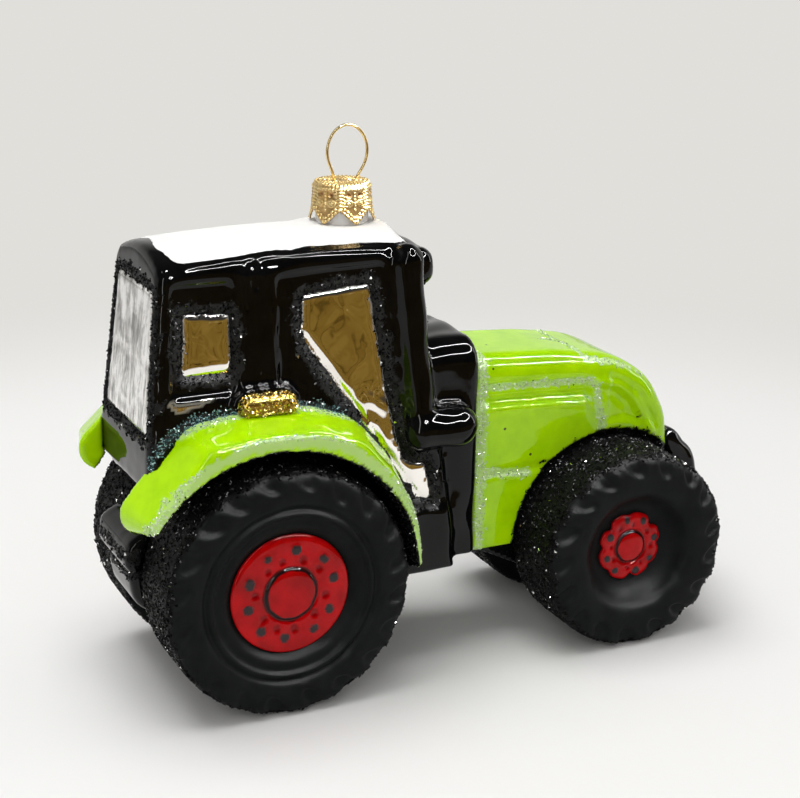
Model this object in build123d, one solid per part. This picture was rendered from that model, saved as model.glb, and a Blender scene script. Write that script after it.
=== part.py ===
from build123d import *
import os
from collections import namedtuple
from math import asin, atan, cos, degrees, radians, sin, sqrt

# A blown-glass tree ornament in the form of a farm tractor, in millimetres.
#
# +X is forward, +Y is the tractor's left and +Z is up, with the tyres standing on z = 0. Sizes are worked
# out from the rear axle line, x = 0, and the whole is moved as it is written, so that the origin is under
# the middle of the overall length. The ornament is one silvered glass bubble: its pieces are the forms that
# the mould gives it, parted where the lacquers meet, and they touch face to face. Only the metal cap comes
# off, with its wire hanger.

# ---- Driving dimensions ----

WHEELBASE = 60.3
NOSE_REACH = 20.3  # front of the nose weight from the front axle
HOOD_REACH = 13.3  # front of the bonnet from the front axle
TYRE_FACE = 20.2  # outer sidewalls from the centre plane
CHASSIS_HALF = 6.6  # the inner sidewalls lie against the chassis
CHASSIS_TOP = 24.0
BELLY_Z = 9.5
FLOOR_Z = 15.6  # underside between the wheels
GLASS_WALL = 1.3

# Cab
CAB_REAR_X = -19.2
CAB_FRONT_X = 27.8
CAB_HALF = 12.8
CAB_WAIST_Z = 40.4
CAB_SILL_Z = 16.2
CAB_CORNER_R = 1.6
SILL_SPREAD = 3.1  # how far the sill stands ahead of the waist
SILL_REAR_X = 16.4
ROOF_CROWN_Z = 70.8
ROOF_EAVE = 4.4  # depth of the roof piece below the crown
LEAN_REAR = 3.6  # how far each face leans in over LEAN_RISE above the waist
LEAN_FRONT = 4.5
LEAN_SIDE = 2.6
LEAN_RISE = 33.1
ROOF_BOW = 2.4  # how far the roof's crown falls to its sides
ROOF_ARC_ALONG = 240.0
ROOF_EDGE_R = 1.5
ROOF_PAINT = 0.25
ROOF_PAINT_REAR_X = -12.4
ROOF_PAINT_FRONT_X = 20.4
ROOF_PAINT_HALF = 8.2
PANEL_SINK = 0.7  # depth of the sunken door and quarter panels
PANE_SINK = 0.25  # depth of each pane below its panel

# Fenders
ARCH_X = -1.8  # the wheel arch is struck a little behind the axle
ARCH_GAP = 3.1  # wheel arch above the tyre's tread
ARCH_INNER_HALF = 7.8
FENDER_ROOT_HALF = 11.0
FENDER_DROP = 2.5  # fall of the outline from the root to the outer edge
FENDER_EDGE_R = 1.2
FENDER_TIP_R = 3.6
FENDER_TAIL_LIFT = {"left": 3.0, "right": 0.0}  # the mould turns the left tail up more than the right

# Cowl, bonnet and nose
COWL_FRONT_X = 35.3
COWL_TOP_Z = 52.8
COWL_HALF = 10.4
COWL_SHOULDER_R = 4.6
COWL_BROW_R = 1.2
HOOD_HALF = 9.5
HOOD_NOSE_HALF = 7.6
HOOD_REAR_Z = 49.5
HOOD_BOTTOM_Z = 17.0
HOOD_SHOULDER_R = 3.0
CHANNEL_DEPTH = 0.45
CHANNEL_WIDTH = 1.7
HOOD_ARCH_GAP = 1.1  # front arch above the tyre's tread
ARCH_LIP = 1.5  # width of the lip round the front arch
FIELD_DEPTH = 0.4  # the shallow field on the nose's flanks, and how far it lies inside the bonnet's outline
FIELD_MARGIN = 2.6
GRILLE_HALF = 5.6
GRILLE_LOW_Z = 30.0
GRILLE_HIGH_Z = 39.5
GRILLE_PROUD = 0.4
GRILLE_THICK = 1.4
GRILLE_FRAME = 0.8
GRILLE_SLOTS = 6
WEIGHT_HALF = 7.2
WEIGHT_BOTTOM_Z = 12.5
WEIGHT_EDGE_R = 1.6

# Tail
TAIL_X = -12.5
TAIL_HALF = 6.2
HITCH_BAR_HALF = 8.0
HITCH_BAR_Z = 21.6
HITCH_BAR_THICK = 6.2
TAIL_EDGE_R = 1.2

# Fittings on the cab
PIPE_R = 2.4
PIPE_BOOT_R = 3.4
PIPE_BEND_R = 2.6
BOOT_LENGTH = 5.6
VISOR_HALF = 7.6
VISOR_REACH = 4.0  # front of the visor from the windscreen's face at its foot
VISOR_HEIGHT = 6.2
VISOR_EDGE_R = 2.2
LAMP_X = -1.2
LAMP_LENGTH = 9.0
LAMP_HEIGHT = 3.7
LAMP_RIM = 0.6
LAMP_PROUD = 2.2
LAMP_RECESS = 1.6  # the rim stops this far behind the lamp's face
LAMP_EDGE_R = 1.0

# Neck, cap and hanger
NECK_X = 16.4
NECK_OD = 8.0
NECK_WALL = 0.8
CAP_SHEET = 0.3
CAP_FIT = 0.1  # between the cap and the neck, all round
CAP_FLARE = 0.55  # how much the cap's foot is wider than its top, each side
CAP_HEIGHT = 6.05
CAP_HEADROOM = 0.5
CAP_CLEARANCE = 0.35  # between the cap's foot and the roof's enamel
CAP_PETALS = 6
CAP_PETAL_DEPTH = 2.0
CAP_PETAL_TURN = 3.2
WIRE_D = 0.45
WIRE_HOLE_D = 0.7
LEG_FIT = 0.1
LEG_HOLE_X = 1.6
LEG_REACH = 14.1  # feet of the legs below the neck's mouth
LOOP_HALF = 3.3  # to the wire's centre line
LOOP_HEIGHT = 8.5
LOOP_SHIFT = 0.9  # the loop stands a little ahead of the cap's middle

SIDES = {"left": 1, "right": -1}
STANDING = (Align.CENTER, Align.CENTER, Align.MIN)

# radius: rolling radius at the crown; shoulder: radius at the tread's edges; corner: rounding there;
# bead: where the smooth sidewall ends; step: depth of the ring inside the bead; mouth, floor and depth:
# radii and depth of the dish that the hub lies in; hub and button: radii of the hub and of its middle;
# lobes: scallops round the hub
Wheel = namedtuple("Wheel", "x radius shoulder corner bead step mouth floor depth hub button lobes")
WHEELS = {
    "rear": Wheel(0, 19.5, 19.1, 0.9, 12.6, 0.5, 10.6, 9.0, 1.9, 9.0, 4.0, 0),
    "front": Wheel(WHEELBASE, 16.5, 16.0, 0.9, 9.6, 0.4, 8.6, 5.6, 3.9, 5.6, 2.6, 8),
}
HUB_DISC = 0.8
HUB_RISE = 0.4
HUB_GROOVE = 0.5
LOBE_NOTCH_R = 0.7

# ---- Sizes that follow ----

ROOF_SPLIT_Z = ROOF_CROWN_Z - ROOF_EAVE
ROOF_HALF = CAB_HALF - LEAN_SIDE * (ROOF_SPLIT_Z - CAB_WAIST_Z) / LEAN_RISE
ROOF_ARC_ACROSS = (ROOF_HALF**2 + ROOF_BOW**2) / (2 * ROOF_BOW)
WINDOW_DEPTH = PANEL_SINK + PANE_SINK + GLASS_WALL
ARCH_R = WHEELS["rear"].radius + ARCH_GAP
ARCH_TOP_Z = WHEELS["rear"].radius + ARCH_R
CAB_HOLLOW_Z = ARCH_TOP_Z + 1.9
HOOD_ARCH_R = WHEELS["front"].radius + HOOD_ARCH_GAP
HOOD_NOSE_X = WHEELBASE + HOOD_REACH
FRONT_END_X = WHEELBASE + NOSE_REACH
LAMP_Z = ARCH_TOP_Z + 5.2
LAMP_FACE = CAB_HALF + LAMP_PROUD
NECK_BORE = NECK_OD - 2 * NECK_WALL
CAP_TOP_D = NECK_OD + 2 * (CAP_FIT + CAP_SHEET)
CAP_RIM_D = CAP_TOP_D + 2 * CAP_FLARE
CAP_RIM_Z = ROOF_CROWN_Z + 0.05
CAP_TOP_Z = CAP_RIM_Z + CAP_HEIGHT
NECK_TOP_Z = CAP_TOP_Z - CAP_SHEET - CAP_HEADROOM

# A corner of an outline in side view, with its own rounding
Corner = namedtuple("Corner", "x z radius")


# ---- Helpers ----


def side_outline(points, corner=0.0):
    """A closed outline in side view from (x, z) points, with its corners rounded."""
    at = [Plane.XZ.from_local_coords((x, z)) for x, z in points]
    if corner:
        return make_face(FilletPolyline(*at, radius=corner, close=True))
    return make_face(Polyline(*at, close=True))


def rounded_side(corners):
    """A side-view outline whose corners each have their own rounding."""
    return side_outline([(row.x, row.z) for row in corners], [row.radius for row in corners])


def across(face, half):
    """A side-view outline made as wide as the body, half to each side."""
    return extrude(face, amount=half, dir=(0, 1, 0), both=True)


def outward(face, side, start, end):
    """A side-view outline drawn from one distance off the centre plane to another, on one side."""
    return extrude(Pos(0, side * start, 0) * face, amount=end - start, dir=(0, side, 0))


def end_outline(left, corner=0.0):
    """A closed outline in end view from (y, z) points of the left half, mirrored to the right."""
    whole = left + [(-y, z) for y, z in reversed(left)]
    at = [Plane.YZ.from_local_coords((y, z)) for y, z in whole]
    if corner:
        return make_face(FilletPolyline(*at, radius=corner, close=True))
    return make_face(Polyline(*at, close=True))


def along(face, x0, x1):
    """An end-view outline drawn from one x to another."""
    return extrude(Pos(x0, 0, 0) * face, amount=x1 - x0, dir=(1, 0, 0))


def slab(x0, x1, half, z0, z1):
    """A plain box across the centre plane."""
    return Pos((x0 + x1) / 2, 0, (z0 + z1) / 2) * Box(x1 - x0, 2 * half, z1 - z0)


def axle_cylinder(x, z, radius, side, start, end):
    """A cylinder lying across the tractor on one side, from one distance off the centre plane to another."""
    middle = side * (start + end) / 2
    return Pos(x, middle, z) * Rot(90, 0, 0) * Cylinder(radius, end - start)


def rim_edges(shape, half):
    """The edges that bound a shape's two flat flanks, at a distance off the centre plane."""
    return [e for e in shape.edges() if abs(abs(e.center().Y) - half) < 0.01]


# ---- Cab ----

# Level sections from the sill up, past the roof's crown
CabLevel = namedtuple("CabLevel", "z rear front half")
CAB_LEVELS = [
    CabLevel(CAB_SILL_Z, CAB_REAR_X, CAB_FRONT_X + SILL_SPREAD, CAB_HALF),
    CabLevel(CAB_WAIST_Z, CAB_REAR_X, CAB_FRONT_X, CAB_HALF),
    CabLevel(
        CAB_WAIST_Z + LEAN_RISE,
        CAB_REAR_X + LEAN_REAR,
        CAB_FRONT_X - LEAN_FRONT,
        CAB_HALF - LEAN_SIDE,
    ),
]
UNDERCUT_TOP_Z = CAB_WAIST_Z - 4.8
CAB_UNDERCUT = [
    (CAB_REAR_X - 3, UNDERCUT_TOP_Z),
    (CAB_REAR_X, UNDERCUT_TOP_Z),
    (TAIL_X - 0.5, CHASSIS_TOP),
    (SILL_REAR_X - 3.4, CHASSIS_TOP),
    (SILL_REAR_X, CAB_SILL_Z),
    (SILL_REAR_X, CAB_SILL_Z - 6),
    (CAB_REAR_X - 3, CAB_SILL_Z - 6),
]


def cab_face(z, waist, lean):
    """Where one of the cab's leaning faces stands at a height above the waist."""
    return waist + lean * (z - CAB_WAIST_Z) / LEAN_RISE


def roof_crown():
    """Everything near the roof that lies under its crown, which is arched more across than along."""
    middle = (CAB_LEVELS[-1].rear + CAB_LEVELS[-1].front) / 2
    reach = 0.7 * (CAB_FRONT_X - CAB_REAR_X)
    rear, front, foot_z = middle - reach, middle + reach, ROOF_CROWN_Z - 0.5 * ROOF_ARC_ACROSS
    edge_z = ROOF_CROWN_Z - ROOF_ARC_ALONG + sqrt(ROOF_ARC_ALONG**2 - reach**2)
    section = make_face(
        Polyline((front, 0, edge_z), (front, 0, foot_z), (rear, 0, foot_z), (rear, 0, edge_z))
        + ThreePointArc((rear, 0, edge_z), (middle, 0, ROOF_CROWN_Z), (front, 0, edge_z))
    )
    hinge = Axis((middle, 0, ROOF_CROWN_Z - ROOF_ARC_ACROSS), (1, 0, 0))
    swing = degrees(asin((CAB_HALF + 2) / ROOF_ARC_ACROSS))
    return revolve(section.rotate(hinge, -swing), hinge, 2 * swing)


def sky():
    """What lies above the roof's crown."""
    over = slab(CAB_REAR_X - 10, CAB_FRONT_X + 10, CAB_HALF + 7, ROOF_SPLIT_Z - 5, ROOF_CROWN_Z + 10)
    return over - roof_crown()


def cab_form(inset=0.0):
    """The cab's whole form below the roof's crown, or the same form drawn in."""
    corner = max(CAB_CORNER_R - inset, 0.6)
    levels = []
    for row in CAB_LEVELS:
        plan = RectangleRounded(row.front - row.rear - 2 * inset, 2 * (row.half - inset), corner)
        levels.append(Pos((row.rear + row.front) / 2, 0, row.z) * plan)
    undercut = offset(side_outline(CAB_UNDERCUT), inset, kind=Kind.INTERSECTION)
    return loft(levels, ruled=True) - across(undercut, CAB_HALF + 5)


def cab_solid():
    """The cab as one solid under its crowned roof, with the roof's edge rounded over, bored for the neck."""
    cab = cab_form() - sky()
    level = [e for e in cab.edges() if e.center().Z > ROOF_SPLIT_Z + 0.1 and abs(e.tangent_at(0.5).Z) < 0.5]
    seat = Pos(NECK_X, 0, ROOF_SPLIT_Z) * Cylinder(NECK_OD / 2, 2 * ROOF_EAVE, align=STANDING)
    return fillet(level, ROOF_EDGE_R) - seat


def wheel_arches():
    """What the rear wheels need cut from the body, on both sides."""
    radius = WHEELS["rear"].radius
    arches = []
    for side in SIDES.values():
        arches.append(axle_cylinder(ARCH_X, radius, ARCH_R, side, ARCH_INNER_HALF, TYRE_FACE + 5))
        arches.append(axle_cylinder(0, radius, radius, side, CHASSIS_HALF, TYRE_FACE + 5))
    return arches


# Sunken panels and panes, in side view and in end view
PANEL_HEAD_Z = ROOF_SPLIT_Z - 0.1
PANEL_FOOT_Z = ARCH_TOP_Z + 6.9
PILLAR_X = -1.7  # middle of the pillar between the quarter window and the door
QUARTER_PANEL = [
    (CAB_REAR_X + 4.4, PANEL_HEAD_Z),
    (PILLAR_X - 3.2, PANEL_HEAD_Z - 0.4),
    (PILLAR_X - 2.9, PANEL_FOOT_Z),
    (CAB_REAR_X + 3.6, PANEL_FOOT_Z),
]
QUARTER_GLASS = [
    (CAB_REAR_X + 6.5, PANEL_HEAD_Z - 4.7),
    (PILLAR_X - 3.9, PANEL_HEAD_Z - 5.5),
    (PILLAR_X - 3.9, PANEL_FOOT_Z + 2.5),
    (CAB_REAR_X + 5.6, PANEL_FOOT_Z + 2.6),
]
DOOR_PANEL = [
    (PILLAR_X + 2.9, PANEL_HEAD_Z - 0.1),
    (CAB_FRONT_X - 8.8, PANEL_HEAD_Z + 0.4),
    (CAB_FRONT_X - 6.8, PANEL_FOOT_Z - 4.0),
    (CAB_FRONT_X - 4.3, PANEL_FOOT_Z - 15.0),
    (CAB_FRONT_X + 0.7, PANEL_FOOT_Z - 16.0),
    (CAB_FRONT_X + 1.2, PANEL_FOOT_Z - 22.5),
    (CAB_FRONT_X - 5.0, PANEL_FOOT_Z - 22.5),
    (PILLAR_X + 2.9, PANEL_FOOT_Z),
]
DOOR_GLASS = [
    (PILLAR_X + 7.3, PANEL_HEAD_Z - 3.8),
    (CAB_FRONT_X - 11.3, PANEL_HEAD_Z - 3.0),
    (CAB_FRONT_X - 8.7, PANEL_FOOT_Z - 3.9),
    (CAB_FRONT_X - 6.3, PANEL_FOOT_Z - 13.6),
    (CAB_FRONT_X - 2.5, PANEL_FOOT_Z - 14.7),
    (CAB_FRONT_X - 1.2, PANEL_FOOT_Z - 20.9),
    (CAB_FRONT_X - 4.3, PANEL_FOOT_Z - 21.1),
    (PILLAR_X + 13.7, PANEL_FOOT_Z - 3.8),
    (PILLAR_X + 6.8, PANEL_FOOT_Z + 6.3),
]
PILLAR_GROOVE = [
    (PILLAR_X - 0.4, PANEL_HEAD_Z),
    (PILLAR_X + 0.1, PANEL_HEAD_Z),
    (PILLAR_X + 1.0, PANEL_FOOT_Z + 0.5),
    (PILLAR_X + 0.5, PANEL_FOOT_Z + 0.5),
]
END_PANES = ("rear_window", "windscreen")
REAR_GLASS = [(CAB_HALF - 4.3, PANEL_HEAD_Z - 1.7), (CAB_HALF - 2.6, CAB_WAIST_Z + 3.2)]
FRONT_GLASS = [(CAB_HALF - 4.4, PANEL_HEAD_Z - 2.1), (CAB_HALF - 3.0, COWL_TOP_Z + 2.2)]


def window_prisms():
    """The cut that each pane fills, by the pane's name."""
    inside = 0.5 * CAB_HALF
    outside = CAB_HALF + 3
    prisms = {}
    for name, side in SIDES.items():
        prisms["quarter_window_" + name] = outward(side_outline(QUARTER_GLASS, 0.6), side, inside, outside)
        prisms["door_window_" + name] = outward(side_outline(DOOR_GLASS, 0.5), side, inside, outside)
    rear_core = cab_face(PANEL_HEAD_Z, CAB_REAR_X, LEAN_REAR) + WINDOW_DEPTH
    front_core = cab_face(PANEL_HEAD_Z, CAB_FRONT_X, -LEAN_FRONT) - WINDOW_DEPTH
    prisms["rear_window"] = along(end_outline(REAR_GLASS, 0.8), CAB_REAR_X - 5, rear_core)
    prisms["windscreen"] = along(end_outline(FRONT_GLASS, 0.8), front_core, CAB_FRONT_X + 2)
    return prisms


def walls_and_panes(cab):
    """The cab as one hollow wall with sunken panels, and the panes that fill its windows."""
    walls = cab
    panel_skin = cab_form() - cab_form(PANEL_SINK)
    core = cab_form(WINDOW_DEPTH)
    for side in SIDES.values():
        for panel, corner in ((QUARTER_PANEL, 1.5), (DOOR_PANEL, 1.2), (PILLAR_GROOVE, 0.2)):
            walls -= panel_skin & outward(side_outline(panel, corner), side, 0.5 * CAB_HALF, CAB_HALF + 3)
    panes = {}
    for name, prism in window_prisms().items():
        face = cab_form(PANE_SINK if name in END_PANES else PANEL_SINK + PANE_SINK)
        panes[name] = (face - core) & prism
        walls -= (cab_form() - face) & prism
    walls -= core & slab(CAB_REAR_X, CAB_FRONT_X + 5, CAB_HALF, CAB_HOLLOW_Z, ROOF_SPLIT_Z)
    for side in SIDES.values():
        rim = lamp_slot(LAMP_RIM, side, LAMP_FACE - LAMP_RECESS) - lamp_slot(0, side, LAMP_FACE)
        walls += rim - cab_form(0.5)
    return walls - wheel_arches(), panes


# ---- Fenders ----

# The outline at the root, clockwise from inside the wheel arch: direction from the arch's centre in degrees
# up from the front, reach beyond the arch and the rounding there
FenderCorner = namedtuple("FenderCorner", "angle reach radius")
FENDER_CORNERS = [
    FenderCorner(159.2, -8.5, 4.0),
    FenderCorner(151.0, 4.1, FENDER_TIP_R),
    FenderCorner(114.0, 6.4, 6.0),
    FenderCorner(96.6, 5.3, 12.0),
    FenderCorner(75.1, 5.8, 12.0),
    FenderCorner(58.1, 6.1, 10.0),
    FenderCorner(41.0, 4.7, 14.0),
    FenderCorner(10.6, 5.1, 8.0),
    FenderCorner(-2.8, 4.4, 4.0),
    FenderCorner(-4.0, -3.8, 4.0),
]
TAIL_ANGLE = 120  # corners past this direction belong to the tail


def fender_form(name):
    """The whole form of one rear fender, falling outward from the cab, before the body is cut from it."""
    side = SIDES[name]
    points = []
    for row in FENDER_CORNERS:
        distance = ARCH_R + row.reach
        lift = FENDER_TAIL_LIFT[name] if row.angle > TAIL_ANGLE else 0
        x = ARCH_X + distance * cos(radians(row.angle))
        points.append((x, WHEELS["rear"].radius + distance * sin(radians(row.angle)) + lift))
    outline = side_outline(points, [row.radius for row in FENDER_CORNERS])
    root = Pos(0, side * FENDER_ROOT_HALF, 0) * outline
    depth = TYRE_FACE - FENDER_ROOT_HALF
    form = extrude(root, amount=depth, dir=(0, side, 0), taper=degrees(atan(FENDER_DROP / depth)))
    return fillet(rim_edges(form, TYRE_FACE), FENDER_EDGE_R)


def fenders(cab):
    """Both rear fenders, seated on the cab's flanks and cut to the wheel arch."""
    return {"fender_" + name: fender_form(name) - wheel_arches() - cab for name in SIDES}


# ---- Cowl, bonnet, grille and nose weight ----

HOOD_SIDE = [
    Corner(COWL_FRONT_X, HOOD_BOTTOM_Z, 0),
    Corner(COWL_FRONT_X, HOOD_REAR_Z, 0),
    Corner(HOOD_NOSE_X - 23.1, HOOD_REAR_Z - 1.1, 40),
    Corner(HOOD_NOSE_X - 12.1, HOOD_REAR_Z - 2.8, 20),
    Corner(HOOD_NOSE_X - 4.6, HOOD_REAR_Z - 7.7, 12),
    Corner(HOOD_NOSE_X - 0.8, HOOD_REAR_Z - 14.5, 10),
    Corner(HOOD_NOSE_X, HOOD_REAR_Z - 22.5, 1.5),
    Corner(WHEELBASE + 5.7, HOOD_BOTTOM_Z, 0),
]
PANEL_REAR_X = COWL_FRONT_X + 1.6
SIDE_PANEL = [
    (PANEL_REAR_X, HOOD_BOTTOM_Z + 13.6),
    (PANEL_REAR_X, HOOD_REAR_Z - 6.1),
    (WHEELBASE - 5.3, HOOD_REAR_Z - 7.3),
    (WHEELBASE - 2.5, HOOD_REAR_Z - 16.5),
    (WHEELBASE - 2.5, HOOD_BOTTOM_Z + 13.6),
]
CREASE = [
    (PANEL_REAR_X + 0.8, HOOD_REAR_Z - 7.4),
    (WHEELBASE - 5.6, HOOD_REAR_Z - 8.6),
    (WHEELBASE - 5.6, HOOD_REAR_Z - 9.2),
    (PANEL_REAR_X + 0.8, HOOD_REAR_Z - 8.4),
]
FIELD_REAR_X = WHEELBASE - 0.6
GRILLE_END = [(GRILLE_HALF - 0.8, GRILLE_HIGH_Z), (GRILLE_HALF, GRILLE_LOW_Z)]
WEIGHT_SIDE = [
    Corner(WHEELBASE + 5.7, WEIGHT_BOTTOM_Z, 0),
    Corner(WHEELBASE + 5.7, WEIGHT_BOTTOM_Z + 20.5, 0),
    Corner(FRONT_END_X - 5.6, WEIGHT_BOTTOM_Z + 19.3, 4),
    Corner(FRONT_END_X - 1.4, WEIGHT_BOTTOM_Z + 14.7, 4),
    Corner(FRONT_END_X, WEIGHT_BOTTOM_Z + 7.5, 6),
    Corner(FRONT_END_X - 0.9, WEIGHT_BOTTOM_Z, 3),
]


def cowl(cab):
    """The black collar between the cab's front and the bonnet."""
    outline = end_outline([(COWL_HALF, COWL_TOP_Z), (COWL_HALF, HOOD_BOTTOM_Z)])
    form = along(outline, CAB_FRONT_X - 8, COWL_FRONT_X)
    top = form.edges().filter_by(Axis.X).group_by(Axis.Z)[-1]
    form = fillet(top, COWL_SHOULDER_R) - cab
    front = form.faces().sort_by(Axis.X)[-1].edges()
    return fillet([e for e in front if e.center().Z > HOOD_REAR_Z], COWL_BROW_R)


def front_arches(gap=0.0):
    """What the front wheels need cut from the nose, on both sides."""
    radius = WHEELS["front"].radius
    reach = HOOD_ARCH_R + gap
    far = TYRE_FACE + 5
    return [axle_cylinder(WHEELBASE, radius, reach, side, CHASSIS_HALF, far) for side in SIDES.values()]


def hood_plan():
    """The bonnet seen from above: straight sides that turn in to a narrower nose."""
    turn_x = WHEELBASE - 2.3
    nose_x = HOOD_NOSE_X + 2
    half = [(COWL_FRONT_X, HOOD_HALF), (turn_x, HOOD_HALF), (nose_x, HOOD_NOSE_HALF)]
    whole = half + [(x, -y) for x, y in reversed(half)]
    return make_face(FilletPolyline(*whole, radius=[0, 30, 0, 0, 30, 0], close=True))


def hood_form():
    """The bonnet's whole form before its arches, channels and grille are cut."""
    form = across(rounded_side(HOOD_SIDE), HOOD_HALF + 5) & extrude(hood_plan(), amount=COWL_TOP_Z)
    flanks = [f for f in form.faces() if abs(f.normal_at().Y) > 0.9]
    crown = [f for f in form.faces() if abs(f.normal_at().Y) < 0.1 and f.center().Z > HOOD_BOTTOM_Z + 11]
    crown = [f for f in crown if f.center().X > COWL_FRONT_X + 0.5]
    flank_edges = [e for f in flanks for e in f.edges()]
    crown_edges = [e for f in crown for e in f.edges()]
    return fillet([e for e in flank_edges if e in crown_edges], HOOD_SHOULDER_R)


def side_relief(side):
    """What the mould sinks into one flank of the bonnet: the channel, the crease and the nose field."""
    panel = side_outline(SIDE_PANEL, 1.0)
    cuts = [outward(offset(panel, CHANNEL_WIDTH) - panel, side, HOOD_HALF - CHANNEL_DEPTH, HOOD_HALF + 5)]
    cuts.append(outward(side_outline(CREASE, 0.25), side, HOOD_HALF - 0.6 * CHANNEL_DEPTH, HOOD_HALF + 5))
    return cuts


def nose_field():
    """The shallow field on both flanks of the nose, following the bonnet's outline and the wheel arch."""
    outline = offset(rounded_side(HOOD_SIDE), -FIELD_MARGIN)
    ahead = slab(FIELD_REAR_X, HOOD_NOSE_X, HOOD_HALF + 5, HOOD_BOTTOM_Z, COWL_TOP_Z)
    core = extrude(offset(hood_plan(), -FIELD_DEPTH), amount=COWL_TOP_Z)
    return (across(outline, HOOD_HALF + 4) & ahead) - front_arches(ARCH_LIP) - core


def grille_block(form, reach):
    """The nose skin inside the grille's outline, moved along x by a reach."""
    block = along(end_outline(GRILLE_END, GRILLE_FRAME), HOOD_NOSE_X - 9, HOOD_NOSE_X + 9)
    return block & (Pos(reach, 0, 0) * form)


def hood_and_grille():
    """The bonnet with its moulded flanks, and the slotted grille set into its nose."""
    form = hood_form()
    back = grille_block(form, GRILLE_PROUD - GRILLE_THICK)
    grille = grille_block(form, GRILLE_PROUD) - back
    slot_floor = grille_block(form, GRILLE_PROUD - 0.7 * GRILLE_THICK)
    pitch = (GRILLE_HIGH_Z - GRILLE_LOW_Z - GRILLE_FRAME) / GRILLE_SLOTS
    slot_half = GRILLE_HALF - 0.8 - GRILLE_FRAME
    for index in range(GRILLE_SLOTS):
        z = GRILLE_LOW_Z + 0.5 * GRILLE_FRAME + (index + 0.5) * pitch
        slot = slab(HOOD_NOSE_X - 12, HOOD_NOSE_X + 5, slot_half, z - 0.3 * pitch, z + 0.3 * pitch)
        grille -= slot - slot_floor
    hood = form - (grille_block(form, 0) - back) - nose_field() - front_arches()
    for side in SIDES.values():
        hood -= side_relief(side)
    return {"hood": hood, "grille": grille}


def front_weight(nose):
    """The moulded block that hangs under the nose."""
    form = across(rounded_side(WEIGHT_SIDE), WEIGHT_HALF)
    rim = [e for e in rim_edges(form, WEIGHT_HALF) if e.center().X > WHEELBASE + 6]
    return fillet(rim, WEIGHT_EDGE_R) - nose - front_arches()


# ---- Chassis and tail ----

CHASSIS_SIDE = [
    Corner(TAIL_X, CHASSIS_TOP, 0),
    Corner(SILL_REAR_X - 3.4, CHASSIS_TOP, 0),
    Corner(SILL_REAR_X, CAB_SILL_Z, 0),
    Corner(CAB_FRONT_X + 2.2, CAB_SILL_Z, 0),
    Corner(COWL_FRONT_X - 3.3, HOOD_BOTTOM_Z, 0),
    Corner(WHEELBASE + 5.7, HOOD_BOTTOM_Z, 0),
    Corner(WHEELBASE + 5.7, WEIGHT_BOTTOM_Z, 0),
    Corner(WHEELBASE - 0.3, BELLY_Z, 4),
    Corner(WHEELBASE - 10.3, BELLY_Z, 6),
    Corner(WHEELBASE - 22.3, FLOOR_Z, 6),
    Corner(SILL_REAR_X + 3.6, FLOOR_Z, 4),
    Corner(SILL_REAR_X - 4.4, BELLY_Z + 2, 6),
    Corner(TAIL_X, BELLY_Z + 2, 2),
]
HITCH_BAR_SIDE = [
    Corner(TAIL_X + 1.5, HITCH_BAR_Z, 0),
    Corner(TAIL_X - 9.3, HITCH_BAR_Z, 1.6),
    Corner(TAIL_X - 8.9, HITCH_BAR_Z + HITCH_BAR_THICK - 1.6, 2.0),
    Corner(TAIL_X - 6.1, HITCH_BAR_Z + HITCH_BAR_THICK, 2.0),
    Corner(TAIL_X + 1.5, HITCH_BAR_Z + HITCH_BAR_THICK, 0),
]
TAIL_SIDE = [
    Corner(TAIL_X, HITCH_BAR_Z - 9.4, 0),
    Corner(TAIL_X - 2.5, HITCH_BAR_Z - 9.2, 3),
    Corner(TAIL_X - 7.5, HITCH_BAR_Z - 5.6, 4),
    Corner(TAIL_X - 8.4, HITCH_BAR_Z, 0),
    Corner(TAIL_X, HITCH_BAR_Z, 0),
]


def chassis(cab):
    """The belly between the wheels, from the rear axle to the nose."""
    return across(rounded_side(CHASSIS_SIDE), CHASSIS_HALF) - cab


def hitch_bar(body):
    """The rounded bar across the tail under the cab."""
    form = across(rounded_side(HITCH_BAR_SIDE), HITCH_BAR_HALF)
    rim = [e for e in rim_edges(form, HITCH_BAR_HALF) if e.center().X < TAIL_X]
    return fillet(rim, TAIL_EDGE_R) - body - wheel_arches()


def tail_housing():
    """The lower tail below the bar, up to the back of the chassis."""
    form = across(rounded_side(TAIL_SIDE), TAIL_HALF)
    rim = [e for e in rim_edges(form, TAIL_HALF) if e.center().X < TAIL_X - 0.5]
    rim = [e for e in rim if e.center().Z < HITCH_BAR_Z - 1]
    return fillet(rim, TAIL_EDGE_R)


# ---- Fittings on the cab ----


def exhaust(body):
    """The pipe down the right front pillar, with its boot turned forward."""
    head_z = ROOF_CROWN_Z - 4.4
    boot_z = CAB_WAIST_Z - 0.4
    boot_y = 0.3 - CAB_HALF
    head_y = 0.3 - cab_face(head_z, CAB_HALF, -LEAN_SIDE)
    head = (cab_face(head_z, CAB_FRONT_X - 1.8, -LEAN_FRONT), head_y, head_z)
    heel = (CAB_FRONT_X - 3.4, boot_y, boot_z)
    toe = (heel[0] + BOOT_LENGTH, boot_y, boot_z)
    path = FilletPolyline(head, heel, toe, radius=PIPE_BEND_R)
    start = Plane(origin=path @ 0, z_dir=path % 0)
    pipe = sweep(start * Circle(PIPE_R), path=path) + Pos(path @ 0) * Sphere(PIPE_R)
    boot = Pos((heel[0] + toe[0]) / 2, boot_y, boot_z) * Rot(0, 90, 0) * Cylinder(PIPE_BOOT_R, BOOT_LENGTH)
    ends = [Pos(*place) * Sphere(PIPE_BOOT_R) for place in (heel, toe)]
    return pipe + boot + ends - body


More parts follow.
